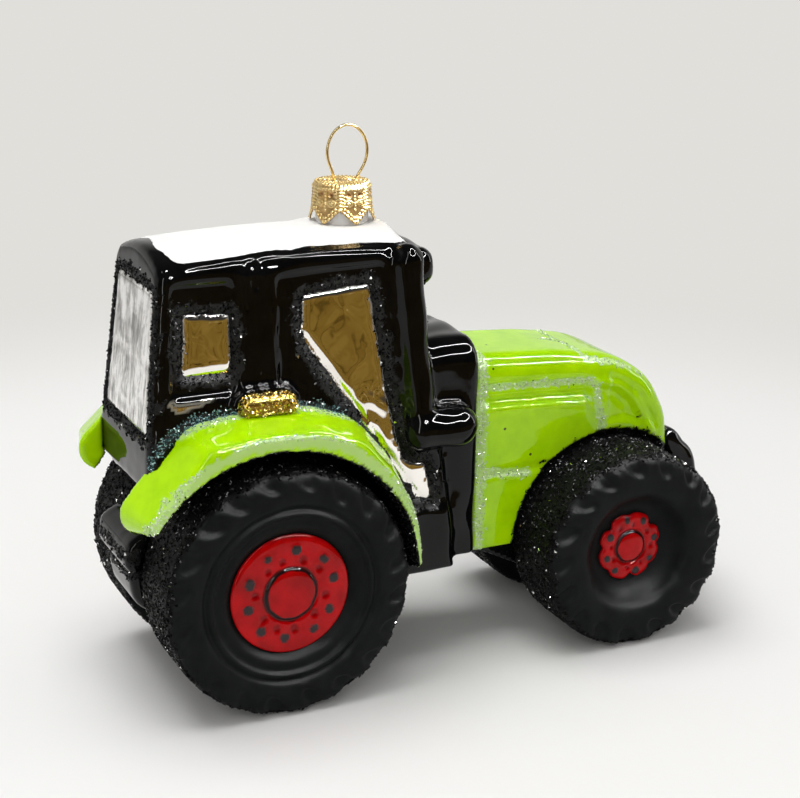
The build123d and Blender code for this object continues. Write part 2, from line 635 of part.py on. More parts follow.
def visor(cab):
    """The rounded brow over the windscreen."""
    top_z = ROOF_SPLIT_Z + 0.8
    foot_z = top_z - VISOR_HEIGHT
    front = cab_face(foot_z, CAB_FRONT_X, -LEAN_FRONT) + VISOR_REACH
    form = slab(front - 7, front, VISOR_HALF, foot_z, top_z)
    ahead = [e for e in form.edges() if e.center().X > front - 6]
    return fillet(ahead, VISOR_EDGE_R) - cab


def lamp_slot(grow, side, reach):
    """A rounded slot on the cab's flank, drawn out to a reach."""
    slot = Plane.XZ * Pos(LAMP_X, LAMP_Z) * SlotOverall(LAMP_LENGTH + 2 * grow, LAMP_HEIGHT + 2 * grow)
    return outward(slot, side, 0.7 * CAB_HALF, reach)


def fender_lamp(side, body):
    """The oval lamp between a fender and the cab, with its edge rounded over."""
    form = lamp_slot(0, side, LAMP_FACE)
    return fillet(rim_edges(form, LAMP_FACE), LAMP_EDGE_R) - body


# ---- Roof, neck, cap and hanger ----


def roof_paint():
    """The white enamel field on the roof, cut clear of the cap's foot."""
    length = ROOF_PAINT_FRONT_X - ROOF_PAINT_REAR_X
    plan = RectangleRounded(length, 2 * ROOF_PAINT_HALF, 2.0)
    field = Pos((ROOF_PAINT_REAR_X + ROOF_PAINT_FRONT_X) / 2, 0, ROOF_SPLIT_Z - 3) * extrude(plan, amount=10)
    paint = (field & (Pos(0, 0, ROOF_PAINT) * roof_crown())) - roof_crown()
    return paint - Pos(NECK_X, 0, ROOF_CROWN_Z) * Cylinder(CAP_RIM_D / 2 + CAP_CLEARANCE, 10)


def neck():
    """The open glass neck that the cap sits on."""
    height = NECK_TOP_Z - ROOF_SPLIT_Z
    tube = Cylinder(NECK_OD / 2, height) - Cylinder(NECK_BORE / 2, height)
    return Pos(NECK_X, 0, ROOF_SPLIT_Z + height / 2) * tube


def metal_cap():
    """The crown cap: a thin drawn cup with pointed petals round its foot and two holes for the wire."""
    cup = Cone(CAP_RIM_D / 2, CAP_TOP_D / 2, CAP_HEIGHT)
    hollow = Cone(CAP_RIM_D / 2 - CAP_SHEET, CAP_TOP_D / 2 - CAP_SHEET, CAP_HEIGHT)
    cap = cup - Pos(0, 0, -CAP_SHEET) * hollow
    foot = -CAP_HEIGHT / 2
    half = 0.92 * CAP_RIM_D / 2 * sin(radians(180 / CAP_PETALS))
    corners = [(0, -half, foot - 0.1), (0, half, foot - 0.1), (0, 0, foot + CAP_PETAL_DEPTH)]
    arch = make_face(Polyline(*corners, close=True))
    notch = extrude(Pos(CAP_TOP_D / 4, 0, 0) * arch, amount=CAP_RIM_D, dir=(1, 0, 0))
    for index in range(CAP_PETALS):
        cap -= Rot(0, 0, CAP_PETAL_TURN + index * 360 / CAP_PETALS) * notch
    for x in (-LEG_HOLE_X, LEG_HOLE_X):
        cap -= Pos(LOOP_SHIFT + x, 0, CAP_HEIGHT / 2) * Cylinder(WIRE_HOLE_D / 2, 2)
    return Pos(NECK_X, 0, CAP_RIM_Z + CAP_HEIGHT / 2) * cap


def hanger_wire():
    """The sprung hanger: an egg-shaped loop above the cap and two legs that bow out to the neck's bore."""
    bow = NECK_BORE / 2 - LEG_FIT - WIRE_D / 2
    top_z = CAP_TOP_Z + LOOP_HEIGHT
    foot_z = NECK_TOP_Z - LEG_REACH
    # Half of the route from a foot to the loop's top: distance from the middle, height, rounding
    half = [
        (bow - 0.4, foot_z, None),
        (bow, foot_z + 4, 8),
        (LEG_HOLE_X, NECK_TOP_Z - 1.4, 3),
        (LEG_HOLE_X, CAP_TOP_Z + 0.5, 1.5),
        (LOOP_HALF, CAP_TOP_Z + 3.2, 3),
        (LOOP_HALF, top_z - 2.9, 4),
        (0.55 * LOOP_HALF, top_z, 1.9),
    ]
    route = [(-x, z, turn) for x, z, turn in half] + [(x, z, turn) for x, z, turn in reversed(half)]
    points = [(NECK_X + x + (LOOP_SHIFT if z > NECK_TOP_Z - 2 else 0), 0, z) for x, z, _ in route]
    path = FilletPolyline(*points, radius=[turn for _, _, turn in route[1:-1]])
    start = Plane(origin=path @ 0, z_dir=path % 0)
    return sweep(start * Circle(WIRE_D / 2), path=path)


# ---- Wheels ----


def turned(section, wheel, side):
    """A section in (radius, reach) turned about the axle, on one side of the tractor."""
    whole = revolve(section, Axis.Y)
    if side < 0:
        whole = mirror(whole, Plane.XZ)
    return Pos(wheel.x, 0, wheel.radius) * whole


def tyre(wheel, side):
    """One tyre: a crowned tread, a bulged sidewall, a stepped bead and the well that the hub lies in."""
    inner_edge = CHASSIS_HALF + 1.5
    outer_edge = TYRE_FACE - wheel.corner
    wall = TYRE_FACE - 0.3
    wall_r = wheel.shoulder - wheel.corner
    ring = TYRE_FACE - wheel.step - 0.1
    floor = TYRE_FACE - wheel.depth
    tread_middle = (inner_edge + outer_edge) / 2
    bulge_r = (wheel.shoulder + wheel.bead) / 2
    chamfer = wheel.shoulder - 1.5
    outline = Polyline((0, CHASSIS_HALF), (chamfer, CHASSIS_HALF), (wheel.shoulder, inner_edge))
    crown = (wheel.radius, tread_middle)
    bead = (wheel.bead, TYRE_FACE - 0.1)
    outline += ThreePointArc((wheel.shoulder, inner_edge), crown, (wheel.shoulder, outer_edge))
    outline += Line((wheel.shoulder, outer_edge), (wall_r, wall))
    outline += ThreePointArc((wall_r, wall), (bulge_r, TYRE_FACE - 0.03), bead)
    outline += Polyline(bead, (wheel.bead - 0.4, ring), (wheel.mouth, ring), (wheel.floor, floor))
    outline += Line((wheel.floor, floor), (0, floor))
    outline += Line((0, floor), (0, CHASSIS_HALF))
    return turned(make_face(outline), wheel, side)


def dome(radius, foot, height):
    """The arc of a spherical cap, from its rim at a radius to its top on the axis."""
    ball = (radius**2 + height**2) / (2 * height)
    half_turn = asin(radius / ball) / 2
    middle = (ball * sin(half_turn), foot + height - ball * (1 - cos(half_turn)))
    return ThreePointArc((radius, foot), middle, (0, foot + height))


def hub(wheel, side):
    """One hub: a disc with a rounded rim, a ring groove and a domed middle."""
    floor = TYRE_FACE - wheel.depth
    face = floor + HUB_DISC
    groove = wheel.button + HUB_GROOVE
    outline = Polyline(
        (0, face + HUB_RISE),
        (0, floor),
        (wheel.hub, floor),
        (wheel.hub, floor + 0.4 * HUB_DISC),
        (wheel.hub - 0.5, face),
        (groove, face),
        (groove, floor + 0.5 * HUB_DISC),
        (wheel.button, floor + 0.5 * HUB_DISC),
        (wheel.button, face),
    )
    form = turned(make_face(outline + dome(wheel.button, face, HUB_RISE)), wheel, side)
    for index in range(wheel.lobes):
        angle = radians((index + 0.5) * 360 / wheel.lobes)
        x, z = wheel.x + wheel.hub * cos(angle), wheel.radius + wheel.hub * sin(angle)
        form -= axle_cylinder(x, z, LOBE_NOTCH_R, side, floor - 1, face + 2)
    return form


# ---- Assembly ----


def assembly():
    """Every piece by its name."""
    cab = cab_solid()
    walls, parts = walls_and_panes(cab)
    body = cab + walls
    parts.update(fenders(body))
    for name, side in SIDES.items():
        parts["fender_lamp_" + name] = fender_lamp(side, body) - parts["fender_" + name]
    for name in window_prisms():
        walls -= parts[name]
    above = slab(CAB_REAR_X - 5, CAB_FRONT_X + 5, CAB_HALF + 5, ROOF_SPLIT_Z, ROOF_CROWN_Z + 5)
    parts["roof"] = walls & above
    parts["cab_shell"] = walls - above
    parts["roof_paint"] = roof_paint()
    parts["neck"] = neck()
    parts["visor"] = visor(cab)
    parts["cowl"] = cowl(cab)
    parts["exhaust"] = exhaust(cab + parts["cowl"]) - parts["visor"]
    parts.update(hood_and_grille())
    parts["front_weight"] = front_weight(hood_form()) - parts["grille"]
    parts["chassis"] = chassis(cab)
    parts["hitch_bar"] = hitch_bar(cab + parts["chassis"])
    parts["tail_housing"] = tail_housing()
    for end, wheel in WHEELS.items():
        for name, side in SIDES.items():
            parts[f"tyre_{end}_{name}"] = tyre(wheel, side)
            parts[f"hub_{end}_{name}"] = hub(wheel, side)
    parts["metal_cap"] = metal_cap()
    parts["hanger_wire"] = hanger_wire()
    return parts


def write_all(parts):
    """Moves the parts so that the origin is under the middle of the overall length, and writes them."""
    rear = min(shape.bounding_box().min.X for shape in parts.values())
    front = max(shape.bounding_box().max.X for shape in parts.values())
    os.makedirs("parts", exist_ok=True)
    for name, shape in parts.items():
        export_step(Pos(-(rear + front) / 2, 0, 0) * shape, os.path.join("parts", name + ".step"))


if __name__ == "__main__":
    write_all(assembly())
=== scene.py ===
import math

import bmesh
import bpy
import numpy as np
from mathutils import Matrix, Vector
from mathutils.bvhtree import BVHTree
from mathutils.kdtree import KDTree


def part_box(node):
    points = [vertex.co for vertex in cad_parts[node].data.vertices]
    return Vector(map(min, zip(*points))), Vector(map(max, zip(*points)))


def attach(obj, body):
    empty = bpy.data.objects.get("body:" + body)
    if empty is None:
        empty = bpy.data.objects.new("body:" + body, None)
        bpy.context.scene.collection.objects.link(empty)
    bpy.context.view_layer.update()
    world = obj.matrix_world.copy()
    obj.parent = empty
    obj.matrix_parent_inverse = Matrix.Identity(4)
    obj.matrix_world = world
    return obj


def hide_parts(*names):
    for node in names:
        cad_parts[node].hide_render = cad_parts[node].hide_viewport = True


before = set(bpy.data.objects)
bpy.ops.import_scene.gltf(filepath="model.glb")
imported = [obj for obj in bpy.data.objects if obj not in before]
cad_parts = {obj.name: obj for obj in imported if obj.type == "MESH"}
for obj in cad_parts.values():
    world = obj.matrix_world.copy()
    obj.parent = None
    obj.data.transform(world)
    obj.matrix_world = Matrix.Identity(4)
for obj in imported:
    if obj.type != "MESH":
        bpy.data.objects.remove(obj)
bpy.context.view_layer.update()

# A blown-glass tree ornament in the form of a farm tractor.
#
# Tables give millimetres from the rear axle's foot: x forward, y to the tractor's left, z up from the ground.
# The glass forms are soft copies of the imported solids; the glitter is real grains laid on them.

MM = 0.001
rng = np.random.default_rng(20)


def box_mm(node):
    low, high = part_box(node)
    return np.array(low) / MM, np.array(high) / MM


REAR_LOW, REAR_HIGH = box_mm("tyre_rear_right")
FRONT_LOW, FRONT_HIGH = box_mm("tyre_front_right")
ORIGIN = np.array([(REAR_LOW[0] + REAR_HIGH[0]) / 2, 0.0, 0.0])
WHEELBASE = (FRONT_LOW[0] + FRONT_HIGH[0]) / 2 - ORIGIN[0]
TYRE_FACE = -REAR_LOW[1]
WIDTH_LIMIT = TYRE_FACE - 0.01
RIGHT, LEFT = -1, 1
SIDE_NAMES = {RIGHT: "right", LEFT: "left"}
# x and z of the wheels' middles
AXLES = {"rear": (0.0, REAR_HIGH[2] / 2), "front": (WHEELBASE, FRONT_HIGH[2] / 2)}


# ---- Mesh helpers ----


def add_piece(name, mesh):
    piece = bpy.data.objects.new(name, mesh)
    bpy.context.scene.collection.objects.link(piece)
    return piece


def piece_from(form, name, smooth=True):
    """A bmesh, drawn in millimetres from the rear axle, made into a piece."""
    bmesh.ops.transform(form, matrix=Matrix.Scale(MM, 4) @ Matrix.Translation(ORIGIN), verts=form.verts)
    mesh = bpy.data.meshes.new(name)
    for face in form.faces:
        face.smooth = smooth
    form.to_mesh(mesh)
    form.free()
    return add_piece(name, mesh)


def settle(piece):
    """Turns a piece's modifiers into plain mesh."""
    graph = bpy.context.evaluated_depsgraph_get()
    mesh = bpy.data.meshes.new_from_object(piece.evaluated_get(graph))
    piece.modifiers.clear()
    piece.data = mesh
    return piece


def places(piece):
    """The piece's points in millimetres from the rear axle."""
    flat = np.empty(len(piece.data.vertices) * 3, np.float32)
    piece.data.vertices.foreach_get("co", flat)
    return flat.reshape(-1, 3).astype(float) / MM - ORIGIN


def facings(piece):
    flat = np.empty(len(piece.data.vertices) * 3, np.float32)
    piece.data.vertices.foreach_get("normal", flat)
    return flat.reshape(-1, 3).astype(float)


def move_to(piece, points):
    piece.data.vertices.foreach_set("co", ((points + ORIGIN) * MM).astype(np.float32).ravel())
    piece.data.update()


def swell(piece, amount):
    """Moves a piece's points along their normals, by one amount or by one for each point."""
    move_to(piece, places(piece) + facings(piece) * np.reshape(amount, (-1, 1)))


def keep_in_width(points):
    """Holds points between the outer faces of the tyres."""
    points[:, 1] = np.clip(points[:, 1], -WIDTH_LIMIT, WIDTH_LIMIT)


def subdivide(piece, levels):
    fine = piece.modifiers.new("fine", "SUBSURF")
    fine.levels = fine.render_levels = levels
    return settle(piece)


def spin_round(form, axis, steps):
    """Turns all that is drawn once round an axis through the origin."""
    drawn = form.verts[:] + form.edges[:]
    whole = dict(cent=(0, 0, 0), angle=2 * math.pi, use_merge=True)
    bmesh.ops.spin(form, geom=drawn, axis=axis, steps=steps, **whole)


def spin_section(rows, axis, steps, merge=1e-4):
    """A line of points spun into a skin that faces out."""
    form = bmesh.new()
    verts = [form.verts.new(row) for row in rows]
    for pair in zip(verts[:-1], verts[1:]):
        form.edges.new(pair)
    spin_round(form, axis, steps)
    bmesh.ops.remove_doubles(form, verts=form.verts, dist=merge)
    bmesh.ops.recalc_face_normals(form, faces=form.faces)
    return form


def keep_largest(piece):
    """Drops every loose island but the largest, such as the skin of a closed hollow."""
    form = bmesh.new()
    form.from_mesh(piece.data)
    unseen = set(form.verts)
    islands = []
    while unseen:
        start = unseen.pop()
        island, edge = [start], [start]
        while edge:
            vert = edge.pop()
            for link in vert.link_edges:
                other = link.other_vert(vert)
                if other in unseen:
                    unseen.remove(other)
                    island.append(other)
                    edge.append(other)
        islands.append(island)
    islands.sort(key=len)
    for island in islands[:-1]:
        bmesh.ops.delete(form, geom=island, context="VERTS")
    form.to_mesh(piece.data)
    form.free()


def moulded(name, nodes, voxel, passes, backing=()):
    """One soft form in place of CAD nodes: a merged copy of them in small even faces, with its edges eased.

    The backing nodes are moulded in too, but have pieces of their own.
    """
    joined = bmesh.new()
    for node in [*nodes, *backing]:
        copy = bmesh.new()
        copy.from_mesh(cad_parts[node].data)
        bmesh.ops.remove_doubles(copy, verts=copy.verts, dist=1e-7)
        part = bpy.data.meshes.new("part")
        copy.to_mesh(part)
        copy.free()
        joined.from_mesh(part)
        bpy.data.meshes.remove(part)
    mesh = bpy.data.meshes.new(name)
    joined.to_mesh(mesh)
    joined.free()
    piece = add_piece(name, mesh)
    even = piece.modifiers.new("even", "REMESH")
    even.mode = "VOXEL"
    even.voxel_size = voxel * MM
    even.use_smooth_shade = True
    ease = piece.modifiers.new("ease", "SMOOTH")
    ease.factor = 0.5
    ease.iterations = passes
    settle(piece)
    keep_largest(piece)
    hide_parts(*nodes)
    return piece


def put_value(piece, name, values):
    """Gives each point of a piece a number that its materials read."""
    layer = piece.data.attributes.new(name, "FLOAT", "POINT")
    layer.data.foreach_set("value", np.asarray(values, np.float32))


def put_colour(piece, name, colours):
    layer = piece.data.attributes.new(name, "FLOAT_COLOR", "POINT")
    rgba = np.ones((len(piece.data.vertices), 4), np.float32)
    rgba[:, :3] = colours
    layer.data.foreach_set("color", rgba.ravel())


def smooth_step(value, low, high):
    t = np.clip((value - low) / (high - low), 0, 1)
    return t * t * (3 - 2 * t)


def fade(value, low, high):
    """1 up to the low limit, falling softly to 0 at the high one."""
    return 1 - smooth_step(value, low, high)


def bell(distance, width):
    """1 at no distance, falling softly away over a width."""
    return np.exp(-((distance / width) ** 2))


def waver(points, size, seed):
    """A soft irregular number from about -1 to 1 at each point, with features of a size in millimetres."""
    source = np.random.default_rng(seed)
    total = np.zeros(len(points))
    for _ in range(10):
        direction = source.normal(size=points.shape[1])
        direction *= source.uniform(0.6, 1.6) * math.pi / size / np.linalg.norm(direction)
        total += np.sin(points @ direction + source.uniform(0, 2 * math.pi))
    return total / 3.2


def band(points, path):
    """How far flat points lie outside a band along a path of (across, up, half width) rows."""
    best = np.full(len(points), 1e9)
    for start, end in zip(path[:-1], path[1:]):
        start, end = np.array(start, float), np.array(end, float)
        run = end[:2] - start[:2]
        along = np.clip(((points - start[:2]) @ run) / (run @ run), 0, 1)
        gap = np.linalg.norm(points - start[:2] - along[:, None] * run, axis=1)
        best = np.minimum(best, gap - start[2] - along * (end[2] - start[2]))
    return best


def polar(points, centre):
    across, up = points[:, 0] - centre[0], points[:, 2] - centre[1]
    return np.hypot(across, up), np.arctan2(up, across)


def surface_tree(*pieces):
    """A search tree over pieces, in metres."""
    verts, faces = [], []
    for piece in pieces:
        offset = len(verts)
        verts += [v.co.copy() for v in piece.data.vertices]
        faces += [[offset + i for i in p.vertices] for p in piece.data.polygons]
    return BVHTree.FromPolygons(verts, faces)


def distance_to(tree, points, reach):
    """Distance in millimetres from each point to the pieces in a tree, or the reach where that is nearer."""
    found = np.full(len(points), float(reach))
    for index, point in enumerate((points + ORIGIN) * MM):
        hit = tree.find_nearest(point, reach * MM)
        if hit[0] is not None:
            found[index] = hit[3] / MM
    return found


# ---- Glitter ----

GRAIN_SIDES, GRAIN_RADIUS, GRAIN_DEPTH = 3, 0.68, 0.72  # of a grain at a spacing of one millimetre
GRAIN_SIZES = (0.8, 1.5)  # smallest and largest, in spacings
GRAIN_TILT = 0.54
GRAIN_LIFT = 0.02  # off the host, in spacings


def grain_shape():
    """One pointed grain, as its points and its three-sided faces."""
    form = bmesh.new()
    bmesh.ops.create_cone(
        form, cap_ends=True, cap_tris=False, segments=GRAIN_SIDES,
        radius1=GRAIN_RADIUS, radius2=0.0, depth=GRAIN_DEPTH,
    )
    verts = np.array([v.co[:] for v in form.verts])
    triangles = bmesh.ops.triangulate(form, faces=form.faces)["faces"]
    faces = np.array([[v.index for v in face.verts] for face in triangles])
    form.free()
    return verts, faces


GRAIN = grain_shape()


def unit(rows):
    return rows / np.linalg.norm(rows, axis=1)[:, None]


def scatter(host, cover, spacing):
    """Spots on a host and its facings there, as many as its cover, 0 to 1 at each point, has room for."""
    mesh = host.data
    mesh.calc_loop_triangles()
    corners = np.empty(len(mesh.loop_triangles) * 3, np.int32)
    mesh.loop_triangles.foreach_get("vertices", corners)
    corners = corners.reshape(-1, 3)
    points, normals = places(host), facings(host)
    a, b, c = (points[corners[:, i]] for i in range(3))
    area = np.linalg.norm(np.cross(b - a, c - a), axis=1) / 2
    weight = area * cover[corners].mean(axis=1)
    count = int(weight.sum() / spacing**2)
    pick = np.searchsorted(np.cumsum(weight), rng.uniform(0, weight.sum(), count))
    picked = corners[np.minimum(pick, len(corners) - 1)]
    mix = rng.dirichlet((1, 1, 1), count)
    at, facing = (np.einsum("ij,ijk->ik", mix, rows[picked]) for rows in (points, normals))
    return at, unit(facing)


def lay(name, host, cover, slot, spacing, sparkle, grains=("grain", "spark"), colour=None, hold=None):
    """Glitter on a host. A share of the grains, the sparkle, is of the second material, which flashes."""
    at, facing = scatter(host, cover, spacing)
    count = len(at)
    lean = unit(facing + GRAIN_TILT * rng.normal(size=(count, 3)))
    side = unit(np.cross(lean, rng.normal(size=(count, 3))))
    scale = spacing * rng.uniform(*GRAIN_SIZES, count)
    axes = np.stack([side, np.cross(lean, side), lean], axis=2) * scale[:, None, None]
    verts, faces = GRAIN
    points = np.einsum("nij,kj->nki", axes, verts) + (at + facing * GRAIN_LIFT * spacing)[:, None, :]
    points = points.reshape(-1, 3)
    if hold:
        points = hold(points)
    keep_in_width(points)
    index = (faces[None] + (np.arange(count) * len(verts))[:, None, None]).reshape(-1, 3)
    mesh = bpy.data.meshes.new(name)
    mesh.from_pydata((points + ORIGIN) * MM, [], index)
    mesh.update()
    piece = add_piece(name, mesh)
    for grain in grains:
        mesh.materials.append(MATERIALS[grain])
    bright = np.repeat(rng.uniform(size=count) < sparkle, len(faces))
    mesh.polygons.foreach_set("material_index", bright.astype(np.int32))
    if colour is not None:
        put_colour(piece, "tint", np.repeat(colour(at), len(verts), axis=0))
    return finish(piece, None)


# ---- Finishes ----


def add_node(tree, kind, inputs=None, **settings):
    """One shader node, with values or links for its inputs."""
    node = tree.nodes.new("ShaderNode" + kind)
    for key, value in settings.items():
        setattr(node, key, value)
    for key, value in (inputs or {}).items():
        socket = node.inputs[key]
        if isinstance(value, bpy.types.NodeSocket):
            tree.links.new(value, socket)
        else:
            socket.default_value = value
    return node


def math_node(tree, operation, first, second=0.0):
    return add_node(tree, "Math", {0: first, 1: second}, operation=operation).outputs[0]


def blend_node(tree, factor, first, second, kind="MIX"):
    """A colour between two, by a factor."""
    node = tree.nodes.new("ShaderNodeMix")
    node.data_type, node.blend_type = "RGBA", kind
    for socket, value in ((node.inputs[0], factor), (node.inputs[6], first), (node.inputs[7], second)):
        if isinstance(value, bpy.types.NodeSocket):
            tree.links.new(value, socket)
        else:
            socket.default_value = value
    return node.outputs[2]


def ramp_node(tree, factor, stops):
    node = add_node(tree, "ValToRGB", {0: factor})
    ramp = node.color_ramp
    while len(ramp.elements) < len(stops):
        ramp.elements.new(0.5)
    for element, (place, colour) in zip(ramp.elements, stops):
        element.position = place
        element.color = colour if len(colour) == 4 else (*colour, 1)
    return node.outputs[0]


def grey_ramp(tree, factor, low, high, span=(0.3, 0.7)):
    """A number that goes from low to high while a factor crosses a span."""
    return ramp_node(tree, factor, [(place, (value,) * 3) for place, value in zip(span, (low, high))])


def range_node(tree, value, low, high, start=0.0, end=1.0, soft=False):
    """A number that goes from start to end while a value goes from low to high."""
    settings = {"interpolation_type": "SMOOTHSTEP"} if soft else {}
    return add_node(tree, "MapRange", {0: value, 1: low, 2: high, 3: start, 4: end}, **settings).outputs[0]


def plus_share(tree, base, part, share):
    """A value with a share of another added to it."""
    return math_node(tree, "ADD", base, math_node(tree, "MULTIPLY", part, share))


def object_coords(tree):
    return add_node(tree, "TexCoord").outputs["Object"]


def scaled_coords(tree, coords, scale):
    return add_node(tree, "Mapping", {"Vector": coords, "Scale": scale}).outputs[0]


def feed(tree, shader, values):
    """Links values to a shader's sockets by name."""
    for name, value in values.items():
        tree.links.new(value, shader.inputs[name])


def noise_node(tree, size, detail=2.0, rough=0.5, stretch=(1, 1, 1), distortion=0.0):
    """Soft noise on Object coordinates, with features of a size in millimetres."""
    scaled = scaled_coords(tree, object_coords(tree), tuple(s / MM / size for s in stretch))
    inputs = {"Vector": scaled, "Scale": 1.0, "Detail": detail, "Roughness": rough, "Distortion": distortion}
    return add_node(tree, "TexNoise", inputs).outputs[0]


def new_group(name, inputs, outputs):
    tree = bpy.data.node_groups.new(name, "ShaderNodeTree")
    for label, kind, value in inputs:
        socket = tree.interface.new_socket(name=label, in_out="INPUT", socket_type=kind)
        socket.default_value = value
    for label, kind in outputs:
        tree.interface.new_socket(name=label, in_out="OUTPUT", socket_type=kind)
    return tree, tree.nodes.new("NodeGroupInput").outputs, tree.nodes.new("NodeGroupOutput").inputs


def hand_laid_lacquer():
    """How brushed and dipped lacquer lies: slow ripples, a fine skin, and thin and thick places."""
    tree, given, out = new_group(
        "hand_laid_lacquer",
        [
            ("Ripple", "NodeSocketFloat", 1.0),
            ("Skin", "NodeSocketFloat", 0.2),
            ("Gloss", "NodeSocketFloat", 0.06),
        ],
        [("Height", "NodeSocketFloat"), ("Roughness", "NodeSocketFloat"), ("Thick", "NodeSocketFloat")],
    )
    slow = noise_node(tree, 7.0, detail=1.0, distortion=0.6)
    skin = noise_node(tree, 0.9, detail=2.0)
    height = plus_share(tree, math_node(tree, "MULTIPLY", slow, given["Ripple"]), skin, given["Skin"])
    patch = noise_node(tree, 4.0, detail=3.0, rough=0.6)
    spread = math_node(tree, "MULTIPLY", math_node(tree, "SUBTRACT", patch, 0.5), 0.04)
    rough = math_node(tree, "MAXIMUM", math_node(tree, "ADD", spread, given["Gloss"]), 0.012)
    tree.links.new(height, out["Height"])
    tree.links.new(rough, out["Roughness"])
    tree.links.new(grey_ramp(tree, patch, 0.0, 1.0, (0.35, 0.7)), out["Thick"])
    return tree


def dust_nibs():
    """Small dark specks caught in the lacquer."""
    sizes, nibs = [("Size", "NodeSocketFloat", 0.25)], [("Nib", "NodeSocketFloat")]
    tree, given, out = new_group("dust_nibs", sizes, nibs)
    scaled = scaled_coords(tree, object_coords(tree), (420, 420, 420))
    cells = add_node(tree, "TexVoronoi", {"Vector": scaled, "Scale": 1.0})
    lot = add_node(tree, "SeparateColor", {0: cells.outputs["Color"]}).outputs[0]
    chosen = math_node(tree, "LESS_THAN", lot, 0.10)
    reach = math_node(tree, "MULTIPLY", given["Size"], 0.4)
    near = math_node(tree, "LESS_THAN", cells.outputs["Distance"], reach)
    tree.links.new(math_node(tree, "MULTIPLY", chosen, near), out["Nib"])
    return tree


GROUPS = {"lacquer": hand_laid_lacquer(), "nibs": dust_nibs()}


def use_group(tree, name, inputs=None):
    node = tree.nodes.new("ShaderNodeGroup")
    node.node_tree = GROUPS[name]
    for key, value in (inputs or {}).items():
        node.inputs[key].default_value = value
    return node.outputs


def point_value(tree, name):
    return add_node(tree, "Attribute", attribute_name=name).outputs["Fac"]


def new_finish(name, inputs):
    """A material with one Principled shader, and its plain numbers set on the shader's own sockets."""
    material = bpy.data.materials.new(name)
    material.use_nodes = True
    shader = material.node_tree.nodes["Principled BSDF"]
    for key, value in inputs.items():
        shader.inputs[key].default_value = value
    return material, material.node_tree, shader


def relief(tree, shader, height, depth):
    """Bump of a depth in millimetres."""
    bump = add_node(tree, "Bump", {"Height": height, "Distance": depth * MM, "Strength": 1.0})
    tree.links.new(bump.outputs[0], shader.inputs["Normal"])


LACQUER_RELIEF = 0.14


def black_lacquer():
    material, tree, shader = new_finish("black_lacquer", {"IOR": 1.5, "Specular IOR Level": 0.2})
    flow = use_group(tree, "lacquer", {"Ripple": 1.0, "Skin": 0.02, "Gloss": 0.012})
    bare = point_value(tree, "bare")
    deep = blend_node(tree, flow["Thick"], (0.0015, 0.0015, 0.0016, 1), (0.0035, 0.0035, 0.0036, 1))
    feed(tree, shader, {
        "Base Color": blend_node(tree, bare, deep, (0.86, 0.8, 0.7, 1)),
        "Roughness": plus_share(tree, flow["Roughness"], point_value(tree, "bed"), 0.5),
        "Metallic": bare,
    })
    relief(tree, shader, flow["Height"], LACQUER_RELIEF)
    return material


def lime_lacquer():
    material, tree, shader = new_finish("lime_lacquer", {"IOR": 1.5, "Specular IOR Level": 0.27})
    flow = use_group(tree, "lacquer", {"Ripple": 1.0, "Skin": 0.03, "Gloss": 0.03})
    bed = point_value(tree, "bed")
    nib = use_group(tree, "nibs", {"Size": 0.25})["Nib"]
    lime = blend_node(tree, flow["Thick"], (0.45, 0.80, 0.001, 1), (0.36, 0.69, 0.0005, 1))
    dusted = blend_node(tree, bed, lime, (0.46, 0.70, 0.18, 1))
    shaded = blend_node(tree, point_value(tree, "under"), dusted, (0.004, 0.004, 0.004, 1))
    feed(tree, shader, {
        "Base Color": blend_node(tree, nib, shaded, (0.05, 0.07, 0.01, 1)),
        "Roughness": plus_share(tree, flow["Roughness"], bed, 0.4),
    })
    relief(tree, shader, flow["Height"], LACQUER_RELIEF)
    return material


def silvered_glass(name="silvered_glass", stretch=(1, 1, 1), depth=0.045, size=3.5, smears=0.0):
    """Glass silvered from inside, which mirrors the room in a wavy way, under a black line round its rim."""
    material, tree, shader = new_finish(name, {"Metallic": 1.0})
    wave = noise_node(tree, size, detail=0.6, distortion=0.8, stretch=stretch)
    smear = noise_node(tree, 2.2, detail=5.0, rough=0.7, stretch=stretch, distortion=0.5)
    patches = noise_node(tree, 4.5, detail=3.0, rough=0.6, distortion=0.8)
    worn = plus_share(tree, math_node(tree, "MULTIPLY", smear, 0.6), patches, 0.4)
    streaks = [(0.40, (0.10, 0.10, 0.095)), (0.48, (0.46, 0.45, 0.43)), (0.56, (0.95, 0.94, 0.92))]
    clean = ramp_node(tree, wave, [(0.3, (0.82, 0.79, 0.74)), (0.7, (0.90, 0.87, 0.82))])
    silver = blend_node(tree, smears, clean, ramp_node(tree, worn, streaks))
    rim = point_value(tree, "rim")
    rough = math_node(tree, "ADD", math_node(tree, "MULTIPLY", smear, 0.04 + 0.3 * smears), 0.01)
    feed(tree, shader, {
        "Base Color": blend_node(tree, rim, silver, (0.003, 0.003, 0.003, 1)),
        "Metallic": math_node(tree, "SUBTRACT", 1.0, rim),
        "Roughness": plus_share(tree, rough, rim, 0.4),
    })
    relief(tree, shader, wave, depth)
    return material


def roof_enamel():
    material, tree, shader = new_finish("white_enamel", {"IOR": 1.45})
    chalk = noise_node(tree, 1.4, detail=4.0, rough=0.6)
    feed(tree, shader, {
        "Base Color": ramp_node(tree, chalk, [(0.3, (0.82, 0.82, 0.80)), (0.7, (0.88, 0.88, 0.865))]),
        "Roughness": grey_ramp(tree, chalk, 0.5, 0.62),
    })
    relief(tree, shader, chalk, 0.05)
    return material


